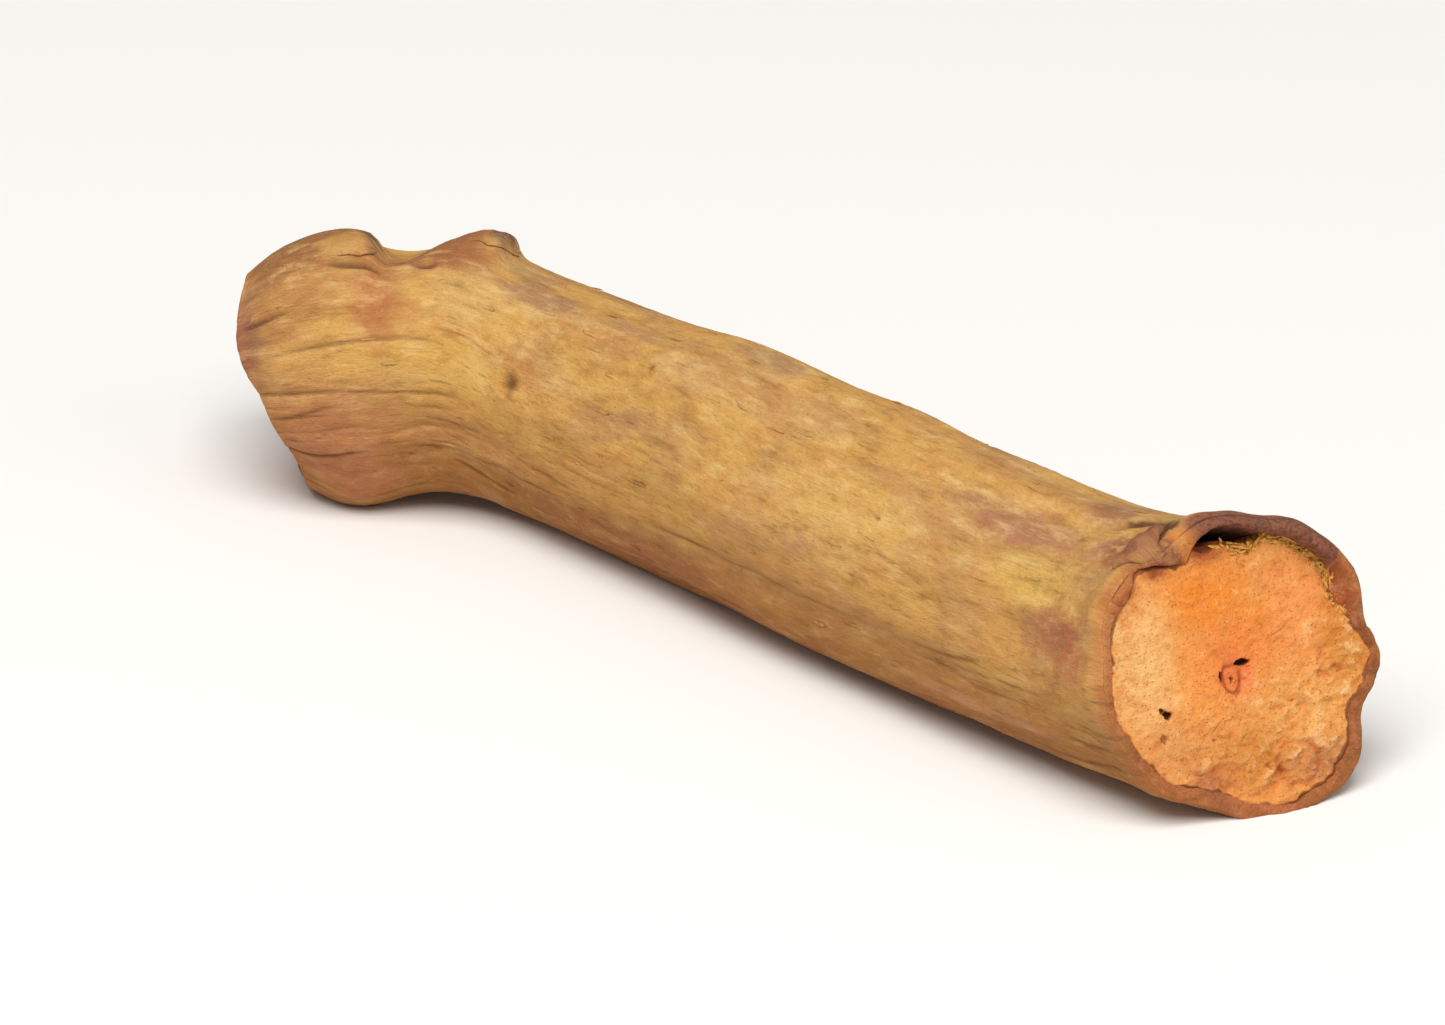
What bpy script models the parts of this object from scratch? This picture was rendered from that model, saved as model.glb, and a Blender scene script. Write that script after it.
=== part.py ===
"""One dried, cut stick of Indian madder root, lying on its side.

The stick grew as one piece: bark and wood are one solid. It runs along X, from a swollen, snapped
joint at -X to a slanting knife cut at +X, and it rests on its flattened underside at Z = 0.
Angles round the root start at the top and turn towards -Y, the side it shows most.
"""

import math

import bmesh
import bpy
import numpy as np

MM = 0.001

# Driving sizes of the stick
SNAP_X = -23.6 * MM              # where the centre line starts, in the snapped joint
CUT_X = 23.0 * MM                # where it ends, in the knife cut
REST_DEPTH = 0.16 * MM           # how much of the underside is worn flat
BARK_THICKNESS = 0.62 * MM

# The root's mean radius at stations along X, from the snapped joint to the knife cut
STATIONS = np.array([-23.6, -21.2, -17.9, -14.5, -9.0, 0.0, 10.0, 17.0, 20.5, 23.0]) * MM
RADII = np.array([4.45, 4.80, 4.70, 4.58, 4.66, 4.80, 4.88, 4.98, 5.20, 5.45]) * MM

# The joint end turns towards -Y at the knee, and its neck arches off the surface
KNEE_X = -11.0 * MM              # where the turn starts
KNEE_REACH = 9.0 * MM            # how far along X it takes
KNEE_LEAN = 0.78                 # how far the joint then runs sideways for each metre along X
BODY_SWAY = -0.30 * MM
ARCH_X = -17.9 * MM
ARCH_RISE = 0.75 * MM
ARCH_REACH = 2.8 * MM

# The two ends are slanting planes: how far they run along the root for each metre sideways and up
CUT_SLANT = (0.34, -0.25)
SNAP_SLANT = (-0.10, -0.26)
SLANT_REACH = 7.0 * MM           # over which the body's rings turn to meet a slanting end

# From the frame that these formulas use to the middle of the stick's box, in X and Y
BOX_MIDDLE = (-0.73 * MM, -2.11 * MM)

# Long, shallow ridges of the bark: (number round the root, height, turn per metre, start angle)
RIDGES = (
    (5, 0.10 * MM, 9.0, 0.4),
    (8, 0.085 * MM, -14.0, 1.9),
    (13, 0.060 * MM, 11.0, 3.3),
    (19, 0.035 * MM, -6.0, 0.8),
)

# Lumps and hollows: (x, angle, height, half length, half width)
LUMPS = (
    (-20.9 * MM, math.radians(2), 0.60 * MM, 1.3 * MM, 2.2 * MM),      # stub of a side root
    (-19.3 * MM, math.radians(-8), -0.85 * MM, 0.70 * MM, 1.8 * MM),   # notch behind the stub
    (-16.9 * MM, math.radians(-14), 0.75 * MM, 1.0 * MM, 1.1 * MM),    # bark peeled off the neck
    (-21.6 * MM, math.radians(150), 0.30 * MM, 1.6 * MM, 2.6 * MM),    # underside of the joint
    (-13.4 * MM, math.radians(62), -0.20 * MM, 0.7 * MM, 0.7 * MM),    # pit of a shed rootlet
    (4.0 * MM, math.radians(-30), 0.22 * MM, 2.8 * MM, 2.0 * MM),
    (15.0 * MM, math.radians(75), -0.18 * MM, 3.5 * MM, 1.6 * MM),
    (-4.0 * MM, math.radians(170), 0.25 * MM, 3.0 * MM, 2.0 * MM),
    (9.0 * MM, math.radians(-120), 0.30 * MM, 2.2 * MM, 1.8 * MM),
)

# Bark standing above the wood round the knife cut: (angle, height, half width, roll inwards)
CUT_RIM = 0.16 * MM
CUT_LIPS = (
    (math.radians(-36), 0.85 * MM, math.radians(30), 0.05 * MM),       # long lip, lifted off the wood
    (math.radians(38), 0.62 * MM, math.radians(15), 0.75 * MM),        # tab rolled over the wood
    (math.radians(-150), 0.20 * MM, math.radians(25), 0.10 * MM),      # low lip by the knot
)
SNAP_RIM = 0.20 * MM
SNAP_BULGE = 0.60 * MM

PITH_RADIUS = 0.42 * MM
PITH_DEPTH = 0.9 * MM
FACE_SHARES = (1.0, 0.86, 0.68, 0.48, 0.28)      # rings of an end face, as shares of its radius

# The mesh: points round the root, and rings along its joint, its body and its flare at the cut
AROUND = 68
JOINT_RINGS = 20
BODY_RINGS = 22
FLARE_RINGS = 9

BARK_COLOUR = (0.53, 0.33, 0.14, 1.0)


def clear_scene():
    for obj in list(bpy.data.objects):
        bpy.data.objects.remove(obj, do_unlink=True)


def smooth_step(low, high, value):
    share = np.clip((value - low) / (high - low), 0.0, 1.0)
    return share * share * (3.0 - 2.0 * share)


def through(x, stations, values):
    """A cubic curve through the stations, with the slope at each from its neighbours."""
    slopes = np.gradient(values, stations)
    i = np.clip(np.searchsorted(stations, x) - 1, 0, len(stations) - 2)
    gap = stations[i + 1] - stations[i]
    u = (x - stations[i]) / gap
    start = (1 + 2 * u) * (1 - u) ** 2 * values[i] + u * (1 - u) ** 2 * gap * slopes[i]
    end = u * u * (3 - 2 * u) * values[i + 1] + u * u * (u - 1) * gap * slopes[i + 1]
    return start + end


def turned(angle, centre):
    """The signed difference between two angles, from -pi to pi."""
    return (angle - centre + math.pi) % (2 * math.pi) - math.pi


def bark_radius(x, angle):
    """Distance of the bark from the centre line: an oval that turns, with ridges and lumps on it."""
    mean = through(x, STATIONS, RADII)
    radius = mean * (1 + 0.035 * np.cos(2 * angle - 0.7) + 0.02 * np.cos(3 * angle + 60 * x))
    for count, height, turn, start in RIDGES:
        swell = 0.65 + 0.35 * np.sin(140 * x * (1 + 0.1 * count) + start)
        radius = radius + height * swell * np.cos(count * angle + turn * x * count + start)
    for at, around, height, half_length, half_width in LUMPS:
        across = turned(angle, around) * mean
        radius = radius + height * np.exp(-((x - at) / half_length) ** 2 - (across / half_width) ** 2)
    return radius


def spine_y(x):
    """Sideways place of the centre line: nearly straight, then a smooth turn and a straight joint."""
    past = (KNEE_X - x) / KNEE_REACH
    turn = np.clip(past, 0.0, 1.0)
    joint = KNEE_REACH * (turn ** 3 - turn ** 4 / 2 + np.clip(past - 1, 0.0, None))
    return BODY_SWAY * np.sin(math.pi * x / CUT_X) - KNEE_LEAN * joint


def spine_z(x):
    """Height of the centre line: the underside stays level but for the arch in the neck."""
    level = bark_radius(x, np.full_like(x, math.pi))
    arch = ARCH_RISE * np.exp(-((x - ARCH_X) / ARCH_REACH) ** 2)
    return level - REST_DEPTH + arch


def frame_at(x):
    """The centre line's point at x, and the unit vectors along it, to its left, and up."""
    step = 0.1 * MM
    lean = (spine_y(x + step) - spine_y(x - step)) / (2 * step)
    flow = 1 / math.sqrt(1 + lean ** 2)
    point = np.array((x - BOX_MIDDLE[0], spine_y(x) - BOX_MIDDLE[1], float(spine_z(np.array(x)))))
    return point, np.array((flow, lean * flow, 0.0)), np.array((-lean * flow, flow, 0.0)), np.array((0, 0, 1))


def end_shift(x, side, up):
    """How far a point moves along the root so that the end rings lie in their slanting planes."""
    to_cut = smooth_step(CUT_X - SLANT_REACH, CUT_X, x)
    to_snap = smooth_step(SNAP_X + SLANT_REACH, SNAP_X, x)
    cut = CUT_SLANT[0] * side + CUT_SLANT[1] * up
    snap = SNAP_SLANT[0] * side + SNAP_SLANT[1] * up
    return to_cut * cut + to_snap * snap


def ring(x, angle, inward):
    """Points of one section, at a distance inwards from the surface of the bark."""
    point, along, left, upward = frame_at(x)
    radius = bark_radius(x, angle) - inward
    side = -np.sin(angle) * radius
    up = np.cos(angle) * radius
    shift = end_shift(x, side, up)
    return point + np.outer(shift, along) + np.outer(side, left) + np.outer(up, upward)


def end_normal(x, slant, way):
    """The unit vector out of an end's slanting plane; way is 1 for the cut, -1 for the snapped end."""
    point, along, left, upward = frame_at(x)
    normal = way * (along - slant[0] * left - slant[1] * upward)
    return normal / np.linalg.norm(normal)


def rim_height(angle):
    """How far the bark stands above the wood round the knife cut, and how far it rolls inwards."""
    height = CUT_RIM * (1 + 0.4 * np.cos(5 * angle) + 0.3 * np.cos(9 * angle + 1))
    curl = np.zeros_like(angle)
    for around, lip, half_width, roll in CUT_LIPS:
        share = np.exp(-(turned(angle, around) / half_width) ** 4)
        height = height + lip * share
        curl = curl + roll * share
    return height, curl


def cut_relief(share, angle):
    """The knife cut: nearly flat, dished by a twentieth of a millimetre, with one knot on its far side."""
    knot = np.exp(-(turned(angle, math.radians(-140)) / 0.35) ** 2 - ((share - 0.75) / 0.15) ** 2)
    return MM * (0.18 * knot + 0.05 * np.sin(3 * angle + 4 * share) * share)


def snap_relief(share, angle):
    """The snapped face: a low crown of splinters that stand up and down by a third of a millimetre."""
    splinters = np.cos(5 * angle + 4 * share) + 0.7 * np.cos(8 * angle - 11 * share + 1)
    return SNAP_BULGE * (1 - share ** 2) + 0.20 * MM * splinters * share


def face_rings(x, angle, normal, edge, relief):
    """Rings of an end face, from the wood's edge to the rim of the pith, then its floor."""
    outer = ring(x, angle, edge)
    centre = ring(x, angle, bark_radius(x, angle))
    middle = centre + relief(0.0, angle)[:, None] * normal
    arm = (outer - centre) / np.linalg.norm(outer - centre, axis=1)[:, None]
    rings = [
        centre + (outer - centre) * share + relief(share, angle)[:, None] * normal
        for share in FACE_SHARES
    ]
    rings.append(middle + arm * PITH_RADIUS)
    rings.append(middle + arm * PITH_RADIUS * 0.7 - PITH_DEPTH * normal)
    return rings


def root_rings():
    """Every ring of the stick, from the middle of the snapped face round to the middle of the cut."""
    angle = np.arange(AROUND) * (2 * math.pi / AROUND)
    joint = np.linspace(SNAP_X, KNEE_X, JOINT_RINGS)
    body = np.linspace(KNEE_X, CUT_X - SLANT_REACH, BODY_RINGS + 1)[1:]
    flare = np.linspace(CUT_X - SLANT_REACH, CUT_X, FLARE_RINGS + 1)[1:]
    bark = [ring(x, angle, 0.0) for x in np.concatenate((joint, body, flare))]

    cut = end_normal(CUT_X, CUT_SLANT, 1)
    height, curl = rim_height(angle)
    crest = ring(CUT_X, angle, 0.22 * BARK_THICKNESS + 0.6 * curl) + np.outer(height, cut)
    inner = ring(CUT_X, angle, 0.85 * BARK_THICKNESS + curl) + np.outer(0.75 * height, cut)
    cut_face = face_rings(CUT_X, angle, cut, BARK_THICKNESS * 1.15, cut_relief)

    snap = end_normal(SNAP_X, SNAP_SLANT, -1)
    torn = SNAP_RIM * (1 + 0.6 * np.cos(6 * angle + 1) + 0.4 * np.cos(11 * angle))
    snap_crest = ring(SNAP_X, angle, 0.3 * BARK_THICKNESS) + np.outer(torn, snap)
    snap_face = face_rings(SNAP_X, angle, snap, BARK_THICKNESS * 1.1, snap_relief)

    return snap_face[::-1] + [snap_crest] + bark + [crest, inner] + cut_face


def loft(name, rings):
    """Skins the rings with quads, closes both ends with a fan, and wears the underside flat."""
    bm = bmesh.new()
    rows = [[bm.verts.new(point) for point in one] for one in rings]
    for near, far in zip(rows, rows[1:]):
        for i in range(AROUND):
            j = (i + 1) % AROUND
            bm.faces.new((near[i], near[j], far[j], far[i]))
    for row in (rows[0], rows[-1]):
        middle = bm.verts.new(np.mean([v.co for v in row], axis=0))
        for i in range(AROUND):
            bm.faces.new((row[i], row[(i + 1) % AROUND], middle))
    for vertex in bm.verts:
        vertex.co.z = max(vertex.co.z, 0.0)
    bmesh.ops.recalc_face_normals(bm, faces=bm.faces)
    mesh = bpy.data.meshes.new(name)
    bm.to_mesh(mesh)
    bm.free()
    mesh.shade_smooth()
    mesh.set_sharp_from_angle(angle=math.radians(50))
    return bpy.data.objects.new(name, mesh)


def bark_material():
    material = bpy.data.materials.new("madder_bark")
    material.use_nodes = True
    shader = material.node_tree.nodes["Principled BSDF"]
    shader.inputs["Base Color"].default_value = BARK_COLOUR
    shader.inputs["Roughness"].default_value = 0.85
    shader.inputs["Metallic"].default_value = 0.0
    return material


def main():
    clear_scene()
    collection = bpy.data.collections.new("indian_madder_root")
    bpy.context.scene.collection.children.link(collection)
    root = loft("madder_root", root_rings())
    root.data.materials.append(bark_material())
    collection.objects.link(root)


main()
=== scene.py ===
"""A cut stick of Indian madder root with its bark, wood, fibres and curls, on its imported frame.

It follows the stick from outside in: the bark, the wood inside it, and then what is torn loose at
the two ends. Angles round the root start at the top and turn towards -Y.
"""

import itertools
import math

import bpy
import numpy as np
from mathutils import Matrix, Vector


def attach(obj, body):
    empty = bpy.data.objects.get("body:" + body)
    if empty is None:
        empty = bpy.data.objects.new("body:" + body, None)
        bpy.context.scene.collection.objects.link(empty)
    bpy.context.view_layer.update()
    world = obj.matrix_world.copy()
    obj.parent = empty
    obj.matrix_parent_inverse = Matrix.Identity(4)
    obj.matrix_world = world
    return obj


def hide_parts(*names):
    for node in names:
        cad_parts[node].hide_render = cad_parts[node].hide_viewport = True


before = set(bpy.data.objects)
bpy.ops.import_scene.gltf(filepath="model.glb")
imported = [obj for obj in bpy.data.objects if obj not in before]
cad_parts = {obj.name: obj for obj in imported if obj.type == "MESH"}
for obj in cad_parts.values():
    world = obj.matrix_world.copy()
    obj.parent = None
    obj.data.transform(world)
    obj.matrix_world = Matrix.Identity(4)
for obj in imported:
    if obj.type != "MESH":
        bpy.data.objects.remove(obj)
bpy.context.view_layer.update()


# The bark: one dry, ochre skin all round the root, about 0.6 mm thick, grown and then shrunk in
# drying, so it has long furrows, small scales, and mauve patches where the outer cork is rubbed off.
# It ends in a snapped edge at the joint and in a knife-cut rim at the other end.
MM = 0.001
SNAP_X = -23.6 * MM                # the snapped end and the cut, along x
CUT_X = 23.0 * MM
REST_DEPTH = 0.16 * MM             # how far its lowest side is flattened where it rests
BARK_THICKNESS = 0.62 * MM
THINNEST_BARK = 0.14 * MM
STATIONS = np.array([-23.6, -21.2, -17.9, -14.5, -9.0, 0.0, 10.0, 17.0, 20.5, 23.0]) * MM
RADII = np.array([4.45, 4.80, 4.70, 4.58, 4.66, 4.80, 4.88, 4.98, 5.20, 5.45]) * MM
MEAN_RADIUS = 4.8 * MM
OVAL = (0.035, 0.7)                # its share of the radius, and twice the angle of its long side
TRIANGLE = (0.02, 60)              # its share of the radius, and three times its turn per metre
KNEE_X = -11.0 * MM                # where the bend towards the joint starts, its length and slope
KNEE_REACH = 9.0 * MM
KNEE_LEAN = 0.78
BODY_SWAY = -0.30 * MM
ARCH_X = -17.9 * MM                # the joint is arched underneath
ARCH_RISE = 0.75 * MM
ARCH_REACH = 2.8 * MM
CUT_SLANT = (0.34, -0.25)          # how far an end's plane leans along x, to the left and upwards
SNAP_SLANT = (-0.10, -0.26)
SLANT_REACH = 7.0 * MM
BOX_MIDDLE = (-0.73 * MM, -2.11 * MM)
UP = np.array((0.0, 0.0, 1.0))


def measured(units, rows):
    """A table in metres and radians: its units mark columns of millimetres with m, of degrees with d."""
    factors = {"m": MM, "d": math.pi / 180}
    return [tuple(value * factors[unit] if unit in factors else value
                  for unit, value in zip(units, row)) for row in rows]


# Long, shallow ridges: (number round the root, height, turn per metre, start in radians)
RIDGES = measured("-m--", (
    (5, 0.10, 9.0, 0.4),
    (8, 0.085, -14.0, 1.9),
    (13, 0.060, 11.0, 3.3),
    (19, 0.035, -6.0, 0.8),
))

# Lumps and hollows: (x, angle, height, half length, half width)
LUMPS = measured("mdmmm", (
    (-19.3, -8, -0.70, 0.80, 1.9),
    (-16.9, -14, 0.30, 1.0, 1.1),
    (-21.6, 150, 0.30, 1.6, 2.6),
    (4.0, -30, 0.22, 2.8, 2.0),
    (15.0, 75, -0.18, 3.5, 1.6),
    (-4.0, 170, 0.25, 3.0, 2.0),
    (9.0, -120, 0.30, 2.2, 1.8),
))

# Snapped ramps: the stub of a side root that ran along the stick, and a torn flap over the neck.
# (x of the foot, x of the tip, length of the break, angle, height, half width)
RAMPS = measured("mmmdmm", (
    (-24.2, -20.05, 0.45, 2, 0.75, 1.9),
    (-19.2, -16.40, 0.40, -11, 0.50, 1.15),
))

# Pits of shed rootlets: (x, angle, radius, depth)
PITS = measured("mdmm", (
    (-13.4, 60, 0.50, 0.22),
    (-18.5, 15, 0.30, 0.26),
    (-6.5, 28, 0.18, 0.10),
    (7.8, 48, 0.16, 0.10),
    (-9.0, -70, 0.40, 0.26),
    (5.0, -145, 0.34, 0.22),
    (14.0, -60, 0.24, 0.16),
    (-17.0, 168, 0.30, 0.20),
    (12.0, 160, 0.26, 0.16),
))

# Gashes that run along the bark: (x, angle, half length, half width, depth, turn per metre)
# The finish paints gashes darker the deeper they are, as painted shade; the first is the shadow line under
# the ledge, the third and fourth the crack above the rolled tab.
GASHES = measured("mdmmm-", (
    (-20.3, 20, 0.75, 0.10, 0.20, 0.0),
    (-22.8, 38, 0.70, 0.12, 0.16, 0.0),
    (18.9, 7.4, 1.3, 0.16, 0.12, -22.0),
    (21.1, 6.4, 1.3, 0.18, 0.16, 60.0),
    (-18.0, 98, 3.6, 0.12, 0.08, -12.0),
    (-15.0, 108, 4.5, 0.10, 0.08, -9.0),
    (-19.5, 74, 2.6, 0.08, 0.06, 9.0),
    (-7.0, 86, 3.5, 0.07, 0.06, 4.0),
    (3.0, 100, 5.0, 0.08, 0.07, -3.0),
    (14.0, 106, 4.0, 0.08, 0.07, 5.0),
))

# Furrows of shrinkage: (length, spacing round the root, width, depth, seed), in millimetres
FURROWS = (
    (40.0, 2.4, 0.12, 0.075, 5),
    (26.0, 1.3, 0.09, 0.050, 6),
    (16.0, 0.7, 0.07, 0.035, 7),
)

FURROWED_SIDE = np.radians((40, 95))       # from where to where the furrows get denser, from the top
# The brown of the lower sides is painted shade, strongest away from the best-lit line near the top.
SHADED_SIDE = np.radians((62, 125))         # and the bark browner, from its palest line
BEST_LIT_ANGLE = math.radians(8)
JOINT_START = (-12 * MM, -19 * MM)

# Stains of the bark: (x, angle, half length, half width, colour, strength). Mauve where the outer
# cork is rubbed off, rust at old wounds and low on the joint, straw where it is bleached, and painted
# shadow in the crack above the rolled tab.
BARK_STAINS = measured("mdmm--", (
    (-21.8, 108, 2.8, 2.9, "B87450", 0.85),
    (-22.2, 30, 1.7, 2.1, "AC7443", 0.75),
    (-21.6, 62, 1.2, 0.9, "C08A50", 0.50),
    (-19.8, 37, 0.70, 2.1, "AC633C", 0.75),
    (-22.0, 0, 2.1, 1.7, "8E5838", 0.80),
    (-20.0, 0, 0.30, 0.7, "4A4232", 0.85),
    (-20.6, 12, 0.70, 0.50, "BC8A48", 0.90),
    (-18.0, 2, 1.9, 1.5, "95583A", 0.85),
    (-16.5, -11, 0.35, 1.0, "5E3A3C", 0.90),
    (-15.2, 0, 1.2, 1.0, "A07A58", 0.60),
    (-17.0, 32, 1.8, 1.2, "CDA766", 0.60),
    (-23.6, 46, 0.80, 2.1, "8C5A4A", 0.90),
    (-13.9, 15, 2.3, 0.80, "A67A58", 0.80),
    (-17.0, 64, 4.0, 1.1, "D3A653", 0.65),
    (-15.0, 100, 6.0, 1.3, "B47B44", 0.55),
    (-9.5, -20, 2.4, 0.8, "A57A58", 0.55),
    (-2.6, -5, 2.2, 0.65, "A07C60", 0.60),
    (-4.2, 60, 1.2, 0.20, "8A5F30", 0.45),
    (6.0, 58, 4.2, 1.7, "D8A960", 0.60),
    (14.3, 27, 2.9, 1.05, "A87056", 0.85),
    (11.2, 24, 1.5, 0.55, "B07C5A", 0.60),
    (17.0, 2, 1.5, 0.75, "9E6A50", 0.80),
    (18.4, 68, 2.7, 0.95, "AC6A4C", 0.85),
    (20.6, 74, 1.7, 1.5, "AE6042", 0.75),
    (16.0, 46, 2.4, 1.1, "D6AC58", 0.65),
    (20.9, 2, 1.4, 0.5, "B4975A", 0.60),
    (18.9, 24, 1.1, 0.80, "B98060", 0.70),
    (21.2, 22, 2.1, 1.15, "92503A", 0.92),
    # Painted shadow: three dark lines in the crack above the rolled tab.
    (19.2, 7.0, 1.0, 0.15, "54281C", 0.95),
    (20.7, 5.6, 1.1, 0.20, "48221A", 0.95),
    (22.0, 9.2, 0.8, 0.20, "54281C", 0.95),
    (14.5, 119, 5.0, 0.40, "C68C62", 0.70),
    (8.0, 106, 9.0, 0.9, "B07A42", 0.50),
    (-6.0, 122, 7.0, 1.2, "9C5E3A", 0.60),
    (2.0, 150, 16.0, 2.2, "96582F", 0.60),
    (6.0, -95, 4.2, 1.3, "A0745C", 0.70),
    (-12.0, -120, 3.4, 1.5, "A36A48", 0.65),
    (16.0, -52, 3.0, 1.0, "A87A60", 0.60),
    (-20.0, -70, 2.6, 2.0, "AC7046", 0.60),
    (19.0, -120, 2.6, 1.6, "AE7452", 0.60),
))

# Lips of bark at the knife cut: (angle, height over the wood, half width, roll over it)
CUT_LIPS = measured("dmdm", (
    (-20.5, 0.70, 32, 0.0),
    (-42, 0.16, 9, 0.10),
    (26, 0.22, 7, 0.10),
    (44, 0.16, 6, 0.08),
    (-150, 0.14, 28, 0.0),
))

# Where the root flares or draws in at the cut: (angle, half width, distance out)
CUT_FLARES = measured("ddm", (
    (-5, 24, 0.40),
    (-40, 18, 0.66),
    (-63, 15, 0.92),
    (-97, 13, 0.72),
    (-121, 12, -0.12),
    (-136, 14, 0.26),
    (-158, 20, 0.48),
    (172, 12, 0.15),
    (128, 26, 0.18),
    (55, 14, 0.32),
    (35, 9, 0.30),
))

# Where the bark is thicker or thinner at the cut: (angle, half width, more thickness)
CUT_WALLS = measured("ddm", (
    (-1, 11, -0.12),
    (-35, 13, 0.30),
    (-64, 12, 0.75),
    (-110, 20, -0.06),
    (16, 6.5, 0.42),
    (33, 8, -0.36),
    (47, 6, 0.16),
    (94, 38, -0.20),
))

CUT_RIM = 0.03 * MM                # the bark's height over the wood between its lips
LIFT_REACH = 2.8 * MM              # how far in from the cut the flares and the walls' changes go
CUT_ROUNDING = (0.20 * MM, 0.9 * MM)   # how far the edge is rounded, and from how far back
SNAP_ROUNDING = (0.42 * MM, 1.3 * MM)
SNAP_RIM = 0.10 * MM

# Where the snapped end stands out or is broken back: (angle, half width, distance)
SNAP_REACHES = measured("ddm", (
    (46, 22, 0.36),
    (0, 26, -0.36),
    (134, 40, -0.72),
    (-80, 24, 0.30),
))
WALL_CLEARANCE = 0.50 * MM         # how much deeper the hidden inner wall lies, away from the ends
END_REACH = 3 * MM                 # how far in from its edge an end's breaks and open wall go

# Colours of the bark's broken edge at the cut: (angle, half width, colour)
RIM_STAINS = measured("dd-", (
    (68, 24, "CA7C44"),
    (102, 14, "B06A34"),
    (45, 9, "A84E1E"),
    (13, 5, "E88C38"),
    (26, 8.5, "8E4C38"),
    (18, 1.8, "74341A"),
    (-63, 13, "AA461A"),
    (-90, 13, "8A3E1A"),
    (-120, 16, "8E4C26"),
    (-150, 15, "A8602E"),
    (180, 17, "B86840"),
    (140, 20, "B06434"),
))

BARK_AROUND = 264
BARK_ALONG = 330
RIM_RINGS = 12
WALL_RINGS = 20


def smooth_step(low, high, value):
    """0 up to low and 1 from high on, with a cubic between that is level at both ends.

    Low above high turns it round.
    """
    share = np.clip((value - low) / (high - low), 0.0, 1.0)
    return share * share * (3.0 - 2.0 * share)


def through(x, stations, values):
    """A cubic curve through the stations, with the slope at each from its neighbours."""
    slopes = np.gradient(values, stations)
    i = np.clip(np.searchsorted(stations, x) - 1, 0, len(stations) - 2)
    gap = stations[i + 1] - stations[i]
    u = (x - stations[i]) / gap
    start = (1 + 2 * u) * (1 - u) ** 2 * values[i] + u * (1 - u) ** 2 * gap * slopes[i]
    end = u * u * (3 - 2 * u) * values[i + 1] + u * u * (u - 1) * gap * slopes[i + 1]
    return start + end


def turned(angle, centre):
    """The signed difference between two angles, from -pi to pi."""
    return (angle - centre + math.pi) % (2 * math.pi) - math.pi


def hump(angle, centre, half_width, power=2):
    """1 at an angle round the root, falling to 0 on both sides: the higher the power, the squarer."""
    return np.exp(-(turned(angle, centre) / half_width) ** power)


def once_round(count):
    """Evenly spaced angles, once round."""
    return np.arange(count) * 2 * math.pi / count


def root_radius(x, angle):
    """Distance of the bark from the centre line: the mean radius through the stations, made oval, with
    a triangle that turns along the root, waves for the ridges, and lumps and ramps added.
    """
    mean = through(x, STATIONS, RADII)
    oval = OVAL[0] * np.cos(2 * angle - OVAL[1])
    triangle = TRIANGLE[0] * np.cos(3 * angle + TRIANGLE[1] * x)
    radius = mean * (1 + oval + triangle)
    for count, height, turn, start in RIDGES:
        swell = 0.65 + 0.35 * np.sin(140 * x * (1 + 0.1 * count) + start)
        radius = radius + height * swell * np.cos(count * angle + turn * x * count + start)
    for at, around, height, half_length, half_width in LUMPS:
        across = turned(angle, around) * mean
        radius = radius + height * np.exp(-((x - at) / half_length) ** 2 - (across / half_width) ** 2)
    for foot, tip, fracture, around, height, half_width in RAMPS:
        rise = smooth_step(foot, tip, x) * smooth_step(tip + fracture, tip, x)
        radius = radius + height * rise * np.exp(-(turned(angle, around) * mean / half_width) ** 4)
    return radius


def spine_y(x):
    """Sideways place of the centre line: a slight bow, then a smooth turn and a straight joint.

    Through the turn the slope follows 3 u^2 - 2 u^3 of the share u that is passed.
    """
    past = (KNEE_X - x) / KNEE_REACH
    turn = np.clip(past, 0.0, 1.0)
    joint = KNEE_REACH * (turn ** 3 - turn ** 4 / 2 + np.clip(past - 1, 0.0, None))
    return BODY_SWAY * np.sin(math.pi * x / CUT_X) - KNEE_LEAN * joint


def spine(x):
    """The centre line's points at x, and its unit vectors along it and to its left.

    It runs as high as the bark is deep under it, less the flat, and higher where the joint is arched.
    """
    step = 0.1 * MM
    lean = (spine_y(x + step) - spine_y(x - step)) / (2 * step)
    flow = 1 / np.sqrt(1 + lean ** 2)
    arch = ARCH_RISE * np.exp(-((x - ARCH_X) / ARCH_REACH) ** 2)
    height = root_radius(x, np.full_like(x, math.pi)) - REST_DEPTH + arch
    level = np.zeros_like(x)
    point = np.stack((x - BOX_MIDDLE[0], spine_y(x) - BOX_MIDDLE[1], height), -1)
    return point, np.stack((flow, lean * flow, level), -1), np.stack((-lean * flow, flow, level), -1)


def end_normal(x, slant):
    """The unit vector out of an end's slanting plane: along, less the plane's lean to each side."""
    _, along, left = spine(np.array(x))
    normal = (along - slant[0] * left - slant[1] * UP) * np.sign(x)
    return normal / np.linalg.norm(normal)


def skin(x, angle, radius, beyond=0.0):
    """Points at a radius round the centre line, pushed beyond the nearer end along its normal.

    Sections lean into the slanting planes of the two ends over the last few millimetres, and what
    would lie under the floor is pressed flat on it.
    """
    x, angle, radius, beyond = np.broadcast_arrays(x, angle, radius, beyond)
    point, along, left = spine(x)
    side = (-np.sin(angle) * radius)[..., None]
    up = (np.cos(angle) * radius)[..., None]
    to_cut = smooth_step(CUT_X - SLANT_REACH, CUT_X, x)[..., None]
    to_snap = smooth_step(SNAP_X + SLANT_REACH, SNAP_X, x)[..., None]
    shift = to_cut * (CUT_SLANT[0] * side + CUT_SLANT[1] * up)
    shift = shift + to_snap * (SNAP_SLANT[0] * side + SNAP_SLANT[1] * up)
    out = np.where((x > 0)[..., None], end_normal(CUT_X, CUT_SLANT), end_normal(SNAP_X, SNAP_SLANT))
    points = point + shift * along + side * left + up * UP + beyond[..., None] * out
    points[..., 2] = np.maximum(points[..., 2], 0.0)
    return points


def near_cut(x):
    """From 0 where the root begins to flare to 1 at the knife cut, late and steep."""
    return smooth_step(CUT_X - LIFT_REACH, CUT_X, x) ** 1.5


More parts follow.
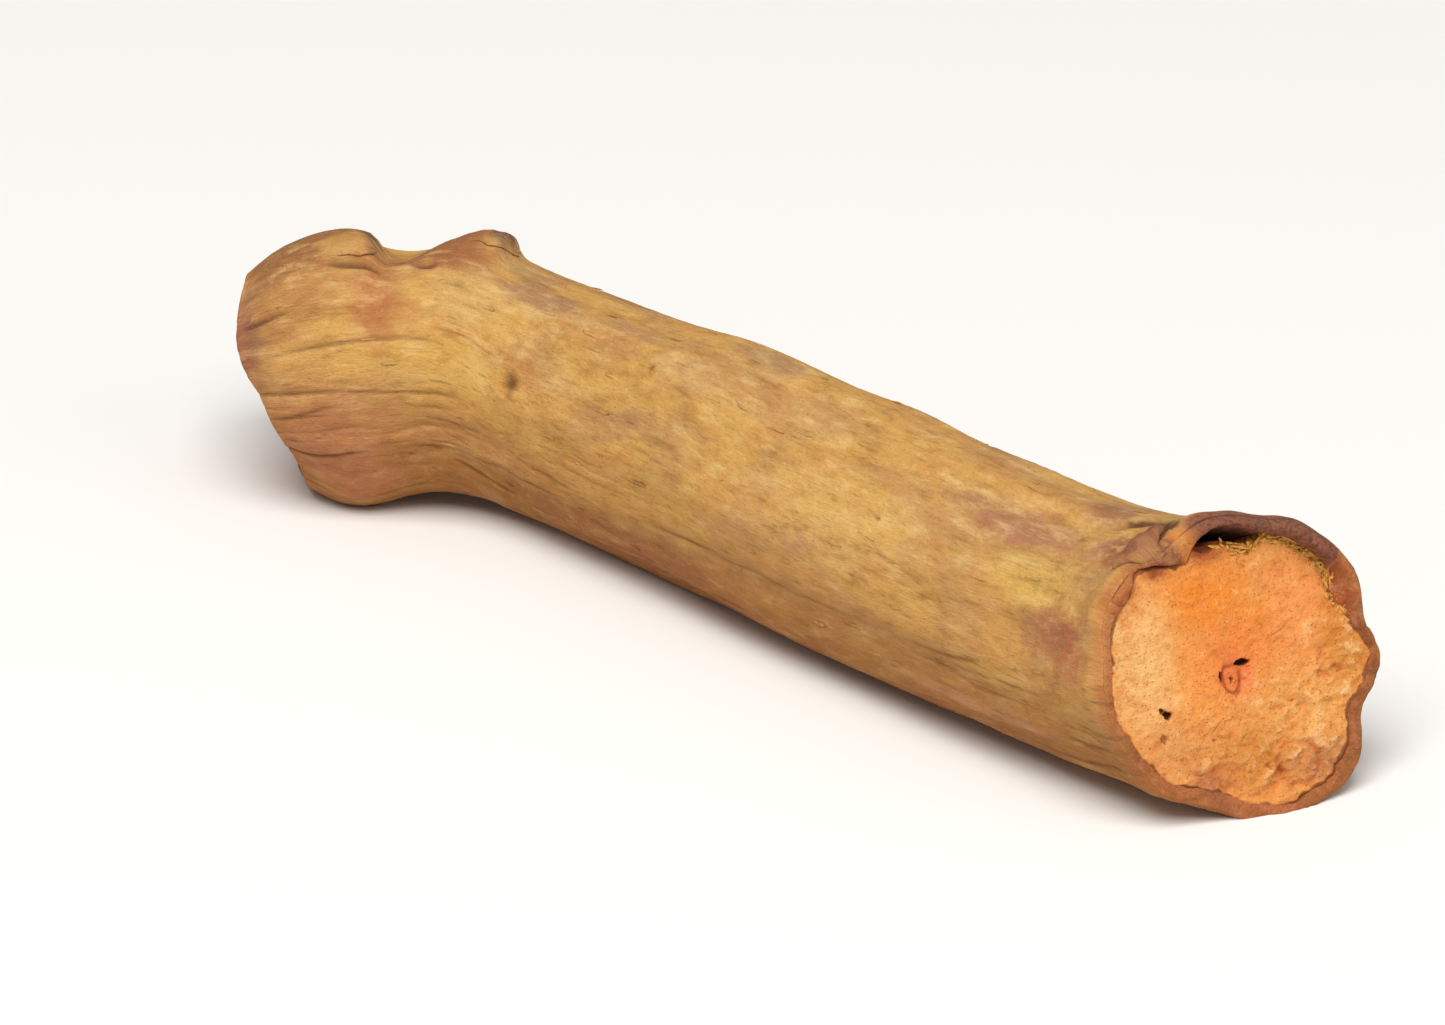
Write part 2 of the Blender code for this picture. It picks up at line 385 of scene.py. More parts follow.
def root_place(x, angle):
    """The root's own coordinates in millimetres, as if it were straight: noise on them has no seam."""
    table = np.linspace(SNAP_X, CUT_X, 400)
    steps = np.hypot(np.diff(table), np.diff(spine_y(table)))
    length = np.interp(x, table, np.concatenate(((0.0,), np.cumsum(steps))))
    x, angle, length = np.broadcast_arrays(x, angle, length)
    return np.stack((length, MEAN_RADIUS * np.cos(angle), MEAN_RADIUS * np.sin(angle)), -1) / MM


def hashed(cell, seed):
    """A fixed number from 0 to 1 for each whole-number cell of space: large odd numbers mix its bits."""
    a, b, c = np.moveaxis(cell.astype(np.int64).astype(np.uint32), -1, 0)
    key = a * np.uint32(73856093) ^ b * np.uint32(19349663) ^ c * np.uint32(83492791)
    key = key ^ np.uint32(seed * 2654435761 % 2 ** 32)
    key = (key ^ (key >> np.uint32(15))) * np.uint32(2246822519)
    key = (key ^ (key >> np.uint32(13))) * np.uint32(3266489917)
    return (key ^ (key >> np.uint32(16))) / 2.0 ** 32


def noise(points, seed):
    """Smooth noise, about -1 to 1: hashed slopes at whole-number corners, blended by a quintic fade."""
    cell = np.floor(points)
    within = points - cell
    fade = within ** 3 * (within * (within * 6 - 15) + 10)
    total = 0.0
    for corner in itertools.product((0, 1), repeat=3):
        slope = np.stack([hashed(cell + corner, 3 * seed + k) for k in range(3)], -1) * 2 - 1
        weight = np.prod(np.where(corner, fade, 1 - fade), axis=-1)
        total = total + weight * np.sum(slope * (within - corner), axis=-1)
    return 1.7 * total


def drift(points, seeds):
    """A shift in each direction by its own noise, which bends a pattern that is read after it."""
    return np.stack([noise(points, seed) for seed in seeds], -1)


def on_ring(angle, radius, along=0.0):
    """Places on a circle, so that noise round the root has no seam: a wide circle gives fine noise."""
    return np.stack(np.broadcast_arrays(radius * np.cos(angle), radius * np.sin(angle), along), -1)


def cells(points, seed):
    """Cells round hashed points: the distance to the nearest, the margin to the next, and its number."""
    base = np.floor(points)
    nearest = np.full(points.shape[:-1], 9.0)
    second = nearest.copy()
    number = np.zeros_like(nearest)
    for offset in itertools.product((-1, 0, 1), repeat=3):
        cell = base + offset
        spot = cell + np.stack([hashed(cell, seed + k) for k in range(3)], -1)
        distance = np.linalg.norm(points - spot, axis=-1)
        closer = distance < nearest
        second = np.where(closer, nearest, np.minimum(second, distance))
        number = np.where(closer, hashed(cell, seed + 5), number)
        nearest = np.minimum(nearest, distance)
    return nearest, second - nearest, number


def paint(code):
    """A colour as shaders hold it, from its usual six-figure code."""
    shares = (int(code[i:i + 2], 16) / 255 for i in (0, 2, 4))
    return tuple(s / 12.92 if s <= 0.04045 else ((s + 0.055) / 1.055) ** 2.4 for s in shares) + (1.0,)


def laid(under, share, colour):
    """Colours of points with another laid over them, by each point's share."""
    share = share[..., None]
    return under * (1 - share) + share * np.array(colour[:3])


OCHRE = paint("CC9A50")
TAN = paint("BE8C55")
WARM_TAN = paint("CB8E4B")
# The next brown is painted shade, laid on the bark's lower sides.
SHADE_BROWN = paint("9C5C28")
STRAW = paint("E6C07C")
STREAK_BROWN = paint("93632E")
FURROW_BROWN = paint("583516")
MAUVE = paint("AC7A5C")
RIM_PINK = paint("BC7040")
RIM_BROWN = paint("7C4428")
RIM_ROSE = paint("BA6C46")
LIP_PURPLE = paint("8E5644")
LIP_DARK = paint("5C3428")
GAP_SHADE_DARK = paint("1E100A")


LINE_STEP = 0.05 * MM / MEAN_RADIUS
LEAST_SLOPE = 30.0                 # per metre, so that a level field still gives a width
FADING_SLOPES = (120.0, 500.0)     # per metre: a line shows not at all, or in full


def lines_of(field, angle, width):
    """Lines, 0 to 1, where a field crosses zero round the root: as wide everywhere, never across it.

    The distance from a zero is the field over its slope round the root, so a crossing that turns
    across the root, where that slope is small, fades out.
    """
    here = field(angle)
    slope = np.abs(field(angle + LINE_STEP) - here) / (LINE_STEP * MEAN_RADIUS)
    return np.exp(-(here / (slope + LEAST_SLOPE) / width) ** 2) * smooth_step(*FADING_SLOPES, slope)


def bark_detail(x, angle):
    """Height of the bark's fine relief, and the marks that colour it, each about 0 to 1.

    Furrows are the zero lines of noise drawn out along the root, which wander because the place is
    shifted by broad noise first, and they fade in and out. They crowd low on the sides. Flecks and
    scales are cells drawn out along it too, pits are bells with a raised ring, gashes long bells.
    """
    def grain_at(turned_angle):
        """The root's place, shifted sideways by broad noise."""
        place = root_place(x, turned_angle)
        wander = 0.6 * drift(place / (8.0, 4.5, 4.5), (1, 2))
        return place + np.concatenate((0 * wander[..., :1], wander), -1)

    place = root_place(x, angle)
    grain = grain_at(angle)
    low = smooth_step(*FURROWED_SIDE, np.abs(turned(angle, 0)) + 0 * x)
    near_joint = smooth_step(*JOINT_START, x)

    height = 0.07 * noise(place / (6.0, 1.9, 1.9), 3) + 0.026 * noise(grain / (3.0, 0.8, 0.8), 4)
    height = height + (0.010 + 0.012 * low) * noise(grain / (3.4, 0.42, 0.42), 12)
    height = height + 0.012 * noise(place / 0.42, 13)
    furrow = 0.0
    for length, across, width, depth, seed in FURROWS:
        def field(turned_angle):
            return noise(grain_at(turned_angle) / (length, across, across), seed)

        present = noise(place / (length * 0.15, across, across), seed + 20) + 0.35 * low + 0.25 * near_joint
        groove = lines_of(field, angle, width * MM) * smooth_step(0.20, 0.90, present)
        height = height - depth * groove
        furrow = np.maximum(furrow, groove * (0.3 + depth / 0.15))

    flecks, _, number = cells(grain / (1.7, 0.36, 0.36), 31)
    fleck = smooth_step(0.30, 0.12, flecks) * (number > 0.82 - 0.16 * low)
    height = height - 0.03 * fleck
    _, margin, number = cells(grain / (2.6, 1.1, 1.1), 36)
    scaly = smooth_step(0.05, 0.45, noise(place / (7.0, 3.0, 3.0), 8))
    height = height + scaly * (0.035 * (number - 0.5) - 0.015 * smooth_step(0.10, 0.0, margin))

    # The deep mark is painted shade: pits and gashes are coloured darker the deeper they are.
    deep = 0.0
    for at, around, radius, depth in PITS:
        reach = np.hypot(x - at, 1.3 * turned(angle, around) * MEAN_RADIUS) / radius
        hollow = np.exp(-reach ** 2)
        height = height - (depth * (hollow - 0.35 * np.exp(-(reach - 1.7) ** 2 * 3))) / MM
        deep = np.maximum(deep, 0.85 * hollow)
    for at, around, half_length, half_width, depth, turn in GASHES:
        middle = around + turn * (x - at) + 0.05 * noise(place / (2.0, 9.0, 9.0), 14)
        across = turned(angle, middle) * MEAN_RADIUS / half_width
        gash = np.exp(-across ** 2 - ((x - at) / half_length) ** 4)
        height = height - depth / MM * gash
        deep = np.maximum(deep, gash * min(1.0, depth / (0.18 * MM)))
    # The upper side's mark carries painted light into the finish: paler on top, browner low on the sides.
    marks = {"furrow": furrow, "fleck": fleck, "deep": deep, "crest": height * 4 + 0.5, "lit_upper": 1 - low}
    return height * MM, marks


def bark_tint(x, angle):
    """Colour of the bark before its fine mottling: ochre and tan clouds, browner low as painted shade, then
    the stains.

    A stain is a soft oval whose edge is made ragged by noise, laid over what is under it.
    """
    place = root_place(x, angle)
    cloudy = noise(place / (4.0, 2.0, 2.0), 15) + 0.4 * noise(place / (1.3, 0.8, 0.8), 16)
    clouds = smooth_step(-0.25, 0.30, cloudy)
    warm = smooth_step(0.0, 0.45, noise(place / (3.0, 1.5, 1.5), 17))
    low = smooth_step(*SHADED_SIDE, np.abs(turned(angle, BEST_LIT_ANGLE)) + 0 * x)
    ragged = 0.5 * noise(place / (1.5, 0.8, 0.8), 9) + 0.45 * noise(place / (0.5, 0.35, 0.35), 10)

    tint = laid(np.broadcast_to(OCHRE[:3], place.shape), clouds * 0.8, TAN)
    tint = laid(tint, warm * 0.5, WARM_TAN)
    # Painted shade: brown laid on the lower sides, away from the best-lit line near the top.
    tint = laid(tint, 0.75 * low, SHADE_BROWN)
    strewn = smooth_step(0.38, 0.75, noise(place / (5.5, 2.0, 2.0), 11) + 0.5 * ragged)
    tint = laid(tint, 0.45 * strewn, MAUVE)
    for at, around, half_length, half_width, code, strength in BARK_STAINS:
        across = turned(angle, around) * MEAN_RADIUS / half_width
        reach = np.hypot((x - at) / half_length, across)
        tint = laid(tint, strength * smooth_step(1.30, 0.45, reach + 0.55 * ragged), paint(code))
    return tint


def rim_shape(angle):
    """Round the knife cut: the bark's height over the wood, the root's flare, and the bark's roll."""
    round_rim = on_ring(angle, 5)
    height = CUT_RIM * (1 + 0.9 * noise(round_rim / 1.3, 40) + 0.7 * noise(round_rim / 0.4, 41))
    flare = np.zeros_like(angle)
    roll = np.zeros_like(angle)
    for around, lip, half_width, rolled in CUT_LIPS:
        share = hump(angle, around, half_width, 16)
        torn = 1 + 0.30 * noise(round_rim / 1.1, 42) + 0.18 * noise(round_rim / 0.3, 43)
        height = height + lip * share * torn
        roll = roll + rolled * share
    for around, half_width, distance in CUT_FLARES:
        flare = flare + distance * hump(angle, around, half_width)
    return height, flare, roll


def bark_radius(x, angle):
    """The bark's radius without fine relief: flared towards the cut, and rounded over at both ends."""
    worn = CUT_ROUNDING[0] * np.clip(1 - (CUT_X - x) / CUT_ROUNDING[1], 0, 1) ** 2
    worn = worn + SNAP_ROUNDING[0] * np.clip(1 - (x - SNAP_X) / SNAP_ROUNDING[1], 0, 1) ** 2
    return root_radius(x, angle) + rim_shape(angle)[1] * near_cut(x) - worn


def snap_reach(x, angle):
    """How far the snapped end stands out or is broken back: less further in, and nil at END_REACH."""
    reach = 0.0
    for around, half_width, distance in SNAP_REACHES:
        reach = reach + distance * hump(angle, around, half_width)
    return reach * smooth_step(SNAP_X + END_REACH, SNAP_X, x)


def rim_tint(angle):
    """The colour of the broken edge round the cut: each stain blends into the next."""
    tint = np.broadcast_to(RIM_BROWN[:3], angle.shape + (3,))
    for around, half_width, code in RIM_STAINS:
        tint = laid(tint, hump(angle, around, half_width, 4), paint(code))
    return tint


def buried(x):
    """From 0 at the two ends to 1 at END_REACH in from them, where the bark's inside can't be seen."""
    return smooth_step(0, END_REACH, np.minimum(CUT_X - x, x - SNAP_X))


def wall_thickness(x, angle):
    """The bark's thickness: more underneath, wandering by a quarter, and by CUT_WALLS at the cut."""
    round_rim = on_ring(angle, 3)
    lower = smooth_step(math.radians(90), math.radians(180), np.abs(turned(angle, 0)))
    wavy = 0.24 * noise(round_rim, 43) + 0.12 * noise(3 * round_rim, 44)
    thickness = BARK_THICKNESS * (0.78 + 0.25 * lower + wavy)
    at_cut = smooth_step(CUT_X - LIFT_REACH, CUT_X, x)
    for around, half_width, more in CUT_WALLS:
        thickness = thickness + more * hump(angle, around, half_width) * at_cut
    return np.maximum(thickness, THINNEST_BARK)


def bark_surface():
    """The bark as a ring of rings: out along the root, over the cut rim, back inside, over the snap.

    Over a rim the wall's thickness is crossed by half a turn, as tall as the bark stands there, and
    crumbled by noise. Gives its points, its places in the root's own coordinates, marks and tint.
    """
    angle = once_round(BARK_AROUND)[None, :]
    outside = np.linspace(SNAP_X, CUT_X, BARK_ALONG)[:, None]
    half_turn = (np.arange(1, RIM_RINGS) * math.pi / RIM_RINGS)[:, None]
    inside = np.linspace(CUT_X, SNAP_X, WALL_RINGS + 2)[:, None]
    x = np.vstack((outside, np.full_like(half_turn, CUT_X), inside, np.full_like(half_turn, SNAP_X)))
    through_wall = np.vstack((0 * outside, 0.5 - 0.5 * np.cos(half_turn), 0 * inside + 1,
                              0.5 + 0.5 * np.cos(half_turn)))
    over_rim = np.vstack((0 * outside, np.sin(half_turn), 0 * inside, np.sin(half_turn)))

    detail, marks = bark_detail(x, angle)
    rim_height, _, roll = rim_shape(angle)
    place = root_place(x, angle)
    snap_height = SNAP_RIM * (1 + 0.7 * noise(place / 1.8, 45) + 0.2 * noise(place / 0.6, 46))
    outer = bark_radius(x, angle) + detail * (1 - 0.6 * through_wall)
    wall = wall_thickness(x, angle) - np.where(x > 0, 0, 0.6 * SNAP_ROUNDING[0])
    wall = wall + WALL_CLEARANCE * buried(x)
    inward = through_wall * wall + over_rim * np.where(x > 0, roll, 0)
    beyond = over_rim * np.where(x > 0, rim_height, snap_height) + snap_reach(x, angle)
    points = skin(x, angle, outer - inward, beyond)
    rough = over_rim * MM * np.where(x > 0, wall / BARK_THICKNESS, 0.4)
    crumble = rough * (0.06 * noise(points / (0.45 * MM), 47) + 0.03 * noise(points / (0.2 * MM), 48))
    points = skin(x, angle, outer - inward + crumble, beyond + crumble)
    ahead = over_rim * rim_height * np.sign(x)
    inner_reach = outer - inward - outer[:1]
    shift = np.stack((ahead, inner_reach * np.cos(angle), inner_reach * np.sin(angle)), -1) / MM
    place = place + np.where(through_wall[..., None] > 0, shift, 0)

    def to_edge(reach):
        """From 0 this far in from the cut to 1 just short of it."""
        return smooth_step(CUT_X - reach, CUT_X - 0.1 * MM, x)

    lip_angle, _, lip_half_width, _ = CUT_LIPS[0]
    marks["rim"] = to_edge(1.2 * MM) + smooth_step(SNAP_X + MM, SNAP_X, x)
    marks["lip"] = hump(angle, lip_angle, lip_half_width, 8) * to_edge(1.0 * MM)
    marks["broken"] = np.minimum(through_wall * 2.5, 1)
    # The inner mark is painted shade: the bark's inside is near black from a few tenths of a millimetre in
    # from an end, as in the gap under the lifted lip.
    marks["inner"] = (through_wall == 1) * smooth_step(0, 0.3 * MM, np.minimum(CUT_X - x, x - SNAP_X))
    at_rim = np.maximum(marks["broken"], to_edge(0.6 * MM) * 0.7)
    at_rim = np.where(x > 0, at_rim, 0)[..., None]
    return points, place, marks, bark_tint(x, angle) * (1 - at_rim) + at_rim * rim_tint(angle)


def grid_faces(rows, columns, close_rows=False):
    """Quads between neighbours of a grid whose columns close on themselves."""
    row = np.arange(rows if close_rows else rows - 1)[:, None]
    column = np.arange(columns)[None, :]
    next_row = (row + 1) % rows
    next_column = (column + 1) % columns
    corners = (row * columns + column, row * columns + next_column,
               next_row * columns + next_column, next_row * columns + column)
    return np.stack(np.broadcast_arrays(*corners), -1).reshape(-1, 4)


def grid_map(across, around):
    """Texture places of grid_faces' corners: the row's place across, and the column's share around."""
    left, right = np.broadcast_arrays(across[:-1, None], across[1:, None] + 0 * around[None, :-1])
    near, far = around[None, :-1] + 0 * left, around[None, 1:] + 0 * left
    corners = ((left, near), (left, far), (right, far), (right, near))
    return np.stack([np.stack(np.broadcast_arrays(*corner), -1) for corner in corners], 2).reshape(-1, 2)


def mesh_piece(name, points, faces, material, marks, places, bake_map=None):
    """A smooth-shaded mesh object with its marks and places as attributes, riding on the root's body."""
    mesh = bpy.data.meshes.new(name)
    mesh.from_pydata(points.reshape(-1, 3).tolist(), [], faces)
    for mark, value in marks.items():
        value = np.broadcast_to(value, points.shape[:-1]).ravel().astype(np.float32)
        mesh.attributes.new(mark, "FLOAT", "POINT").data.foreach_set("value", value)
    for place, value in places.items():
        value = np.broadcast_to(value, points.shape).ravel().astype(np.float32)
        mesh.attributes.new(place, "FLOAT_VECTOR", "POINT").data.foreach_set("vector", value)
    if bake_map is not None:
        mesh.uv_layers.new(name="OFBake").data.foreach_set("uv", bake_map.ravel().astype(np.float32))
    mesh.shade_smooth()
    mesh.materials.append(material)
    piece = bpy.data.objects.new(name, mesh)
    bpy.context.scene.collection.objects.link(piece)
    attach(piece, "root")
    return piece


class Value:
    """A number that varies over a surface, held as a shader socket. Arithmetic adds Math nodes."""

    def __init__(self, finish, socket):
        self.finish = finish
        self.socket = socket

    def math(self, operation, first, second):
        node = self.finish.add("ShaderNodeMath", {"operation": operation}, {0: first, 1: second})
        return Value(self.finish, node.outputs[0])

    def __add__(self, other):
        return self.math("ADD", self, other)

    def __sub__(self, other):
        return self.math("SUBTRACT", self, other)

    def __rsub__(self, other):
        return self.math("SUBTRACT", other, self)

    def __mul__(self, other):
        return self.math("MULTIPLY", self, other)

    __radd__ = __add__
    __rmul__ = __mul__

    def most(self, other):
        return self.math("MAXIMUM", self, other)

    def step(self, low, high):
        """From 0 below low to 1 above high, smoothly; low above high turns it round."""
        sockets = {"Value": self, "From Min": low, "From Max": high}
        node = self.finish.add("ShaderNodeMapRange", {"interpolation_type": "SMOOTHSTEP"}, sockets)
        return Value(self.finish, node.outputs[0])


class Finish:
    """One material and its nodes."""

    def __init__(self, name):
        self.material = bpy.data.materials.new(name)
        self.material.use_nodes = True
        self.tree = self.material.node_tree
        self.shader = self.tree.nodes["Principled BSDF"]

    def add(self, kind, settings=(), sockets=()):
        """Any node: its type, then its settings, then the values or links of its sockets."""
        node = self.tree.nodes.new(kind)
        for name, value in dict(settings).items():
            setattr(node, name, value)
        self.feed(node, sockets)
        return node

    def feed(self, node, sockets):
        """Sets or links a node's sockets, by name, or by number where names repeat."""
        for name, value in dict(sockets).items():
            by_name = (s for s in node.inputs if s.enabled and s.name == name)
            socket = node.inputs[name] if isinstance(name, int) else next(by_name)
            if isinstance(value, Value):
                value = value.socket
            if isinstance(value, bpy.types.NodeSocket):
                self.tree.links.new(value, socket)
            else:
                socket.default_value = value

    def mark(self, name):
        """A number that the mesh carries."""
        node = self.add("ShaderNodeAttribute", {"attribute_name": name})
        return Value(self, node.outputs["Fac"])

    def place(self, name, stretch):
        """A place attribute, stretched: noise read on it has grains as long as 1 over each number."""
        node = self.add("ShaderNodeAttribute", {"attribute_name": name})
        sockets = {0: node.outputs["Vector"], 1: stretch}
        return self.add("ShaderNodeVectorMath", {"operation": "MULTIPLY"}, sockets).outputs[0]

    def noise(self, place, stretch, detail, roughness):
        """Fractal noise, about 0 to 1, read on a stretched place."""
        sockets = {"Vector": self.place(place, stretch), "Scale": 1.0, "Detail": detail,
                   "Roughness": roughness}
        return Value(self, self.add("ShaderNodeTexNoise", (), sockets).outputs["Fac"])

    def layers(self, colour, *layers):
        """A colour with others laid over it in turn: each layer is its share and its colour."""
        for share, over in layers:
            sockets = {"Factor": share, "A": colour, "B": over}
            node = self.add("ShaderNodeMix", {"data_type": "RGBA"}, sockets)
            colour = next(s for s in node.outputs if s.enabled)
        return colour

    def relief(self, *layers):
        """The normal of bumps laid on one another: each layer is its height and its depth in metres."""
        normal = {}
        for height, depth in layers:
            sockets = {"Height": height, "Distance": depth, "Strength": 1.0, **normal}
            normal = {"Normal": self.add("ShaderNodeBump", (), sockets).outputs[0]}
        return normal["Normal"]


def bark_finish():
    """Dull ochre cork: its stained tint, mottled, with short brown streaks, flecks and worn crests."""
    finish = Finish("madder_bark")
    tint = finish.add("ShaderNodeAttribute", {"attribute_name": "tint"}).outputs["Vector"]
    mottle = finish.noise("root_place", (0.7, 1.7, 1.7), 6.0, 0.66)
    patches = finish.noise("root_place", (0.35, 0.8, 0.8), 4.0, 0.6)
    streaks = finish.noise("root_place", (0.6, 4.2, 4.2), 5.0, 0.62)
    hairs = finish.noise("root_place", (1.6, 14.0, 14.0), 4.0, 0.65)
    speckle = finish.noise("root_place", (3.6, 6.5, 6.5), 4.0, 0.68)
    grit = finish.noise("root_place", (10.0, 17.0, 17.0), 3.0, 0.7)
    crest = finish.mark("crest")
    broken = finish.mark("broken")

    # Painted light and shade: straw flecks are strongest on the upper side, brown streaks and furrows
    # stronger low on the sides.
    lit_upper = finish.mark("lit_upper")
    pale = 0.45 + lit_upper * 0.55
    low = 1 - lit_upper
    rubbed_rim = (finish.mark("rim") + (mottle - 0.5) * 1.6).step(0.35, 1.5)
    lip = (finish.mark("lip") + (speckle - 0.5) * 0.8).step(0.2, 0.9)
    purple = finish.layers(LIP_DARK, (speckle.step(0.36, 0.60), LIP_PURPLE))
    furrow = (finish.mark("furrow") * (0.5 + streaks)).step(0.08, 0.85)
    # Painted shade in pits, gashes and the crack over the rolled tab, with the flecks' own darker colour.
    dark = finish.mark("deep").most(finish.mark("fleck") * 0.5).step(0.08, 1.0)
    colour = finish.layers(
        tint,
        (patches.step(0.52, 0.70) * pale * 0.30, STRAW),
        (patches.step(0.46, 0.30) * 0.26, STREAK_BROWN),
        (mottle.step(0.50, 0.70) * pale * 0.50, STRAW),
        (mottle.step(0.49, 0.32) * 0.44, STREAK_BROWN),
        (streaks.step(0.54, 0.74) * (0.35 + low * 0.20), STREAK_BROWN),
        (streaks.step(0.45, 0.28) * pale * 0.30, STRAW),
        (speckle.step(0.56, 0.74) * crest.step(0.2, 0.9) * 0.40, STRAW),
        (speckle.step(0.43, 0.28) * 0.32, STREAK_BROWN),
        (rubbed_rim * 0.4, RIM_PINK),
        (broken * speckle.step(0.50, 0.34) * 0.5, RIM_BROWN),
        (broken * mottle.step(0.48, 0.62) * 0.45, RIM_ROSE),
        (lip * 0.85, purple),
        (furrow * (0.55 + low * 0.17), FURROW_BROWN),
        (dark * 0.80, FURROW_BROWN),
        (hairs.step(0.52, 0.72) * 0.28, STREAK_BROWN),
        (grit.step(0.56, 0.74) * 0.20, STREAK_BROWN),
        (grit.step(0.44, 0.26) * 0.16, STRAW),
        # Painted shade: the bark's inside, seen in the gap under the lip, near black.
        (finish.mark("inner"), GAP_SHADE_DARK),
    )
    finish.feed(finish.shader, {
        "Base Color": colour,
        "Roughness": 0.93 - crest.step(0.4, 1.1) * 0.13,
        "Specular IOR Level": 0.3,
        "Normal": finish.relief((streaks, 0.05 * MM), (hairs, 0.05 * MM), (speckle, 0.07 * MM),
                                (grit, 0.04 * MM)),
    })
    return finish.material


# The bark's texture map: the outside fills nine tenths of it, the rims and the inside the rest.
OUTSIDE_MAP = (0.01, 0.90)
INSIDE_MAP = (0.904, 0.99)

bark_points, bark_place, bark_marks, bark_colours = bark_surface()
bark_rows = len(bark_points)
bark_cross = np.concatenate((np.linspace(*OUTSIDE_MAP, BARK_ALONG),
                             np.linspace(*INSIDE_MAP, bark_rows - BARK_ALONG + 1)))
BARK = bark_finish()
bark = mesh_piece(
    "bark", bark_points, grid_faces(bark_rows, BARK_AROUND, close_rows=True).tolist(), BARK,
    bark_marks, {"root_place": bark_place, "tint": bark_colours},
    grid_map(bark_cross, np.linspace(0.01, 0.99, BARK_AROUND + 1)),
)
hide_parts("madder_root")


# The wood: the orange core that fills the bark, cut smooth but fibrous by one stroke of a knife at
# the thick end, and snapped at the joint. It has a shrunken red pith, two insect holes, a knot and a
# brown pocket, and it shrank from the bark along the top when it dried.
WOOD_AROUND = 432
CUT_RINGS = 132
SNAP_RINGS = 60
SIDE_RINGS = 16
WOOD_SHRINK = 0.04 * MM

# Where the wood has shrunk from the bark at the cut: (angle, half width, distance)
WOOD_GAPS = measured("ddm", (
    (-5.5, 14.5, 0.78),
    (26, 7, 0.14),
))

# Places and sizes on the cut are in millimetres, to the left of its middle and up from it.
CUT_RADIUS = 4.9
PITH = (-0.22, -0.22)
KNOT = (1.83, -3.85, 0.72)         # its place and its radius
CRACK_WIDTH = 0.03
CURL_WIDTH = 0.12

# Holes in the cut: (left, up, half width, half height, depth)
CUT_HOLES = (
    (0.28, 0.32, 0.27, 0.12, 0.38),
    (-2.97, -1.03, 0.14, 0.16, 0.30),
    (-3.14, -0.84, 0.09, 0.13, 0.18),
    (-3.24, -1.90, 0.13, 0.22, 0.11),
    (-0.62, 4.62, 0.34, 0.17, 0.09),
    (-0.15, 4.78, 0.42, 0.10, 0.07),
    (-0.60, -0.10, 0.08, 0.22, 0.16),
    (-0.22, -0.28, 0.07, 0.12, 0.14),
    (1.10, -3.95, 0.10, 0.30, 0.12),
)

# Drying cracks of the cut: (angle in degrees, share out where it starts, where it ends, seed)
CRACKS = (
    (-58, 0.30, 0.62, 54),
    (152, 0.35, 0.70, 55),
    (97, 0.72, 0.97, 56),
    (-118, 0.65, 0.95, 58),
)

# Colours of the cut: (left, up, half width, half height, colour, strength)
WOOD_STAINS = (
    (-0.7, 2.9, 2.2, 1.6, "E2822A", 0.95),
    (1.2, 1.7, 1.7, 1.2, "E38634", 0.85),
    (0.0, 0.6, 1.9, 1.6, "E6823C", 0.85),
    (-3.6, 0.9, 1.7, 3.4, "E6AF6B", 0.95),
    (-2.6, -2.6, 2.0, 1.8, "D4904F", 0.90),
    (3.2, 1.8, 2.0, 2.3, "E68F4B", 0.90),
    (4.3, 0.2, 1.1, 2.4, "C67C2E", 0.85),
    (2.6, -2.0, 2.0, 1.5, "E2A056", 0.80),
    (0.0, -3.3, 2.0, 1.5, "C88038", 0.90),
    (-1.6, -0.2, 1.2, 2.0, "EC9240", 0.60),
    (2.7, -4.0, 1.6, 1.1, "AC6E44", 0.75),
    # Painted shadow: two dark red ovals along the top edge, under the rolled tab.
    (-1.55, 4.75, 0.75, 0.30, "8A3818", 0.90),
    (-2.55, 4.25, 0.60, 0.35, "94401C", 0.90),
    (-1.9, -4.0, 1.2, 0.8, "AE6440", 0.75),
    (-0.5, 4.65, 0.95, 0.5, "A44E26", 0.85),
    (-3.70, 3.85, 0.55, 0.60, "AE5422", 0.85),
    (-0.05, 0.0, 0.80, 0.95, "D8643C", 0.65),
)
WOOD_BASE = "DE9048"

# The band of olive inner bark that clings under the lifted lip: its middle and half width
BAST_ANGLE = math.radians(-31)
BAST_HALF_WIDTH = math.radians(27)


def wood_gap(angle):
    """How far the wood has shrunk from the bark at the cut: a squarish hump for each gap."""
    gap = np.zeros_like(angle)
    for around, half_width, distance in WOOD_GAPS:
        gap = gap + distance * hump(angle, around, half_width, 8)
    return gap


def spots(left, up, holes):
    """How deep each place is inside oval holes with crisp edges, in millimetres."""
    depth = 0.0
    for at_left, at_up, half_width, half_height, full in holes:
        reach = np.hypot((left - at_left) / half_width, (up - at_up) / half_height)
        depth = np.maximum(depth, full * smooth_step(1.3, 0.55, reach))
    return depth


def cut_cracks(share, angle):
    """Drying cracks, 0 to 1: thin lines that wander outwards and taper at both ends."""
    crack = 0.0
    for at, start, end, seed in CRACKS:
        wander = 0.10 * noise(np.stack((share * 5, 0 * share, 0 * share), -1), seed)
        off = turned(angle, math.radians(at) + wander) * share * CUT_RADIUS
        line = np.exp(-(off / CRACK_WIDTH) ** 2) * smooth_step(start, start + 0.1, share)
        crack = np.maximum(crack, line * smooth_step(end, end - 0.15, share))
    return crack


def torn_curls(flat, torn):
    """Curled tears, 0 to 1, low on the cut: the zero lines of bent noise, in broken stretches."""
    curled = flat + 0.9 * drift(flat / 0.9, (78, 79, 94))
    curl = np.exp(-(noise(curled / (0.85, 0.85, 1.0), 69) / CURL_WIDTH) ** 2)
    curl = curl * smooth_step(-0.05, 0.55, noise(flat / 0.42, 98))
    present = torn + 0.5 * noise(flat / 0.8, 95)
    return curl * smooth_step(0.15, 0.60, present) * smooth_step(0.3, -1.2, flat[..., 1])


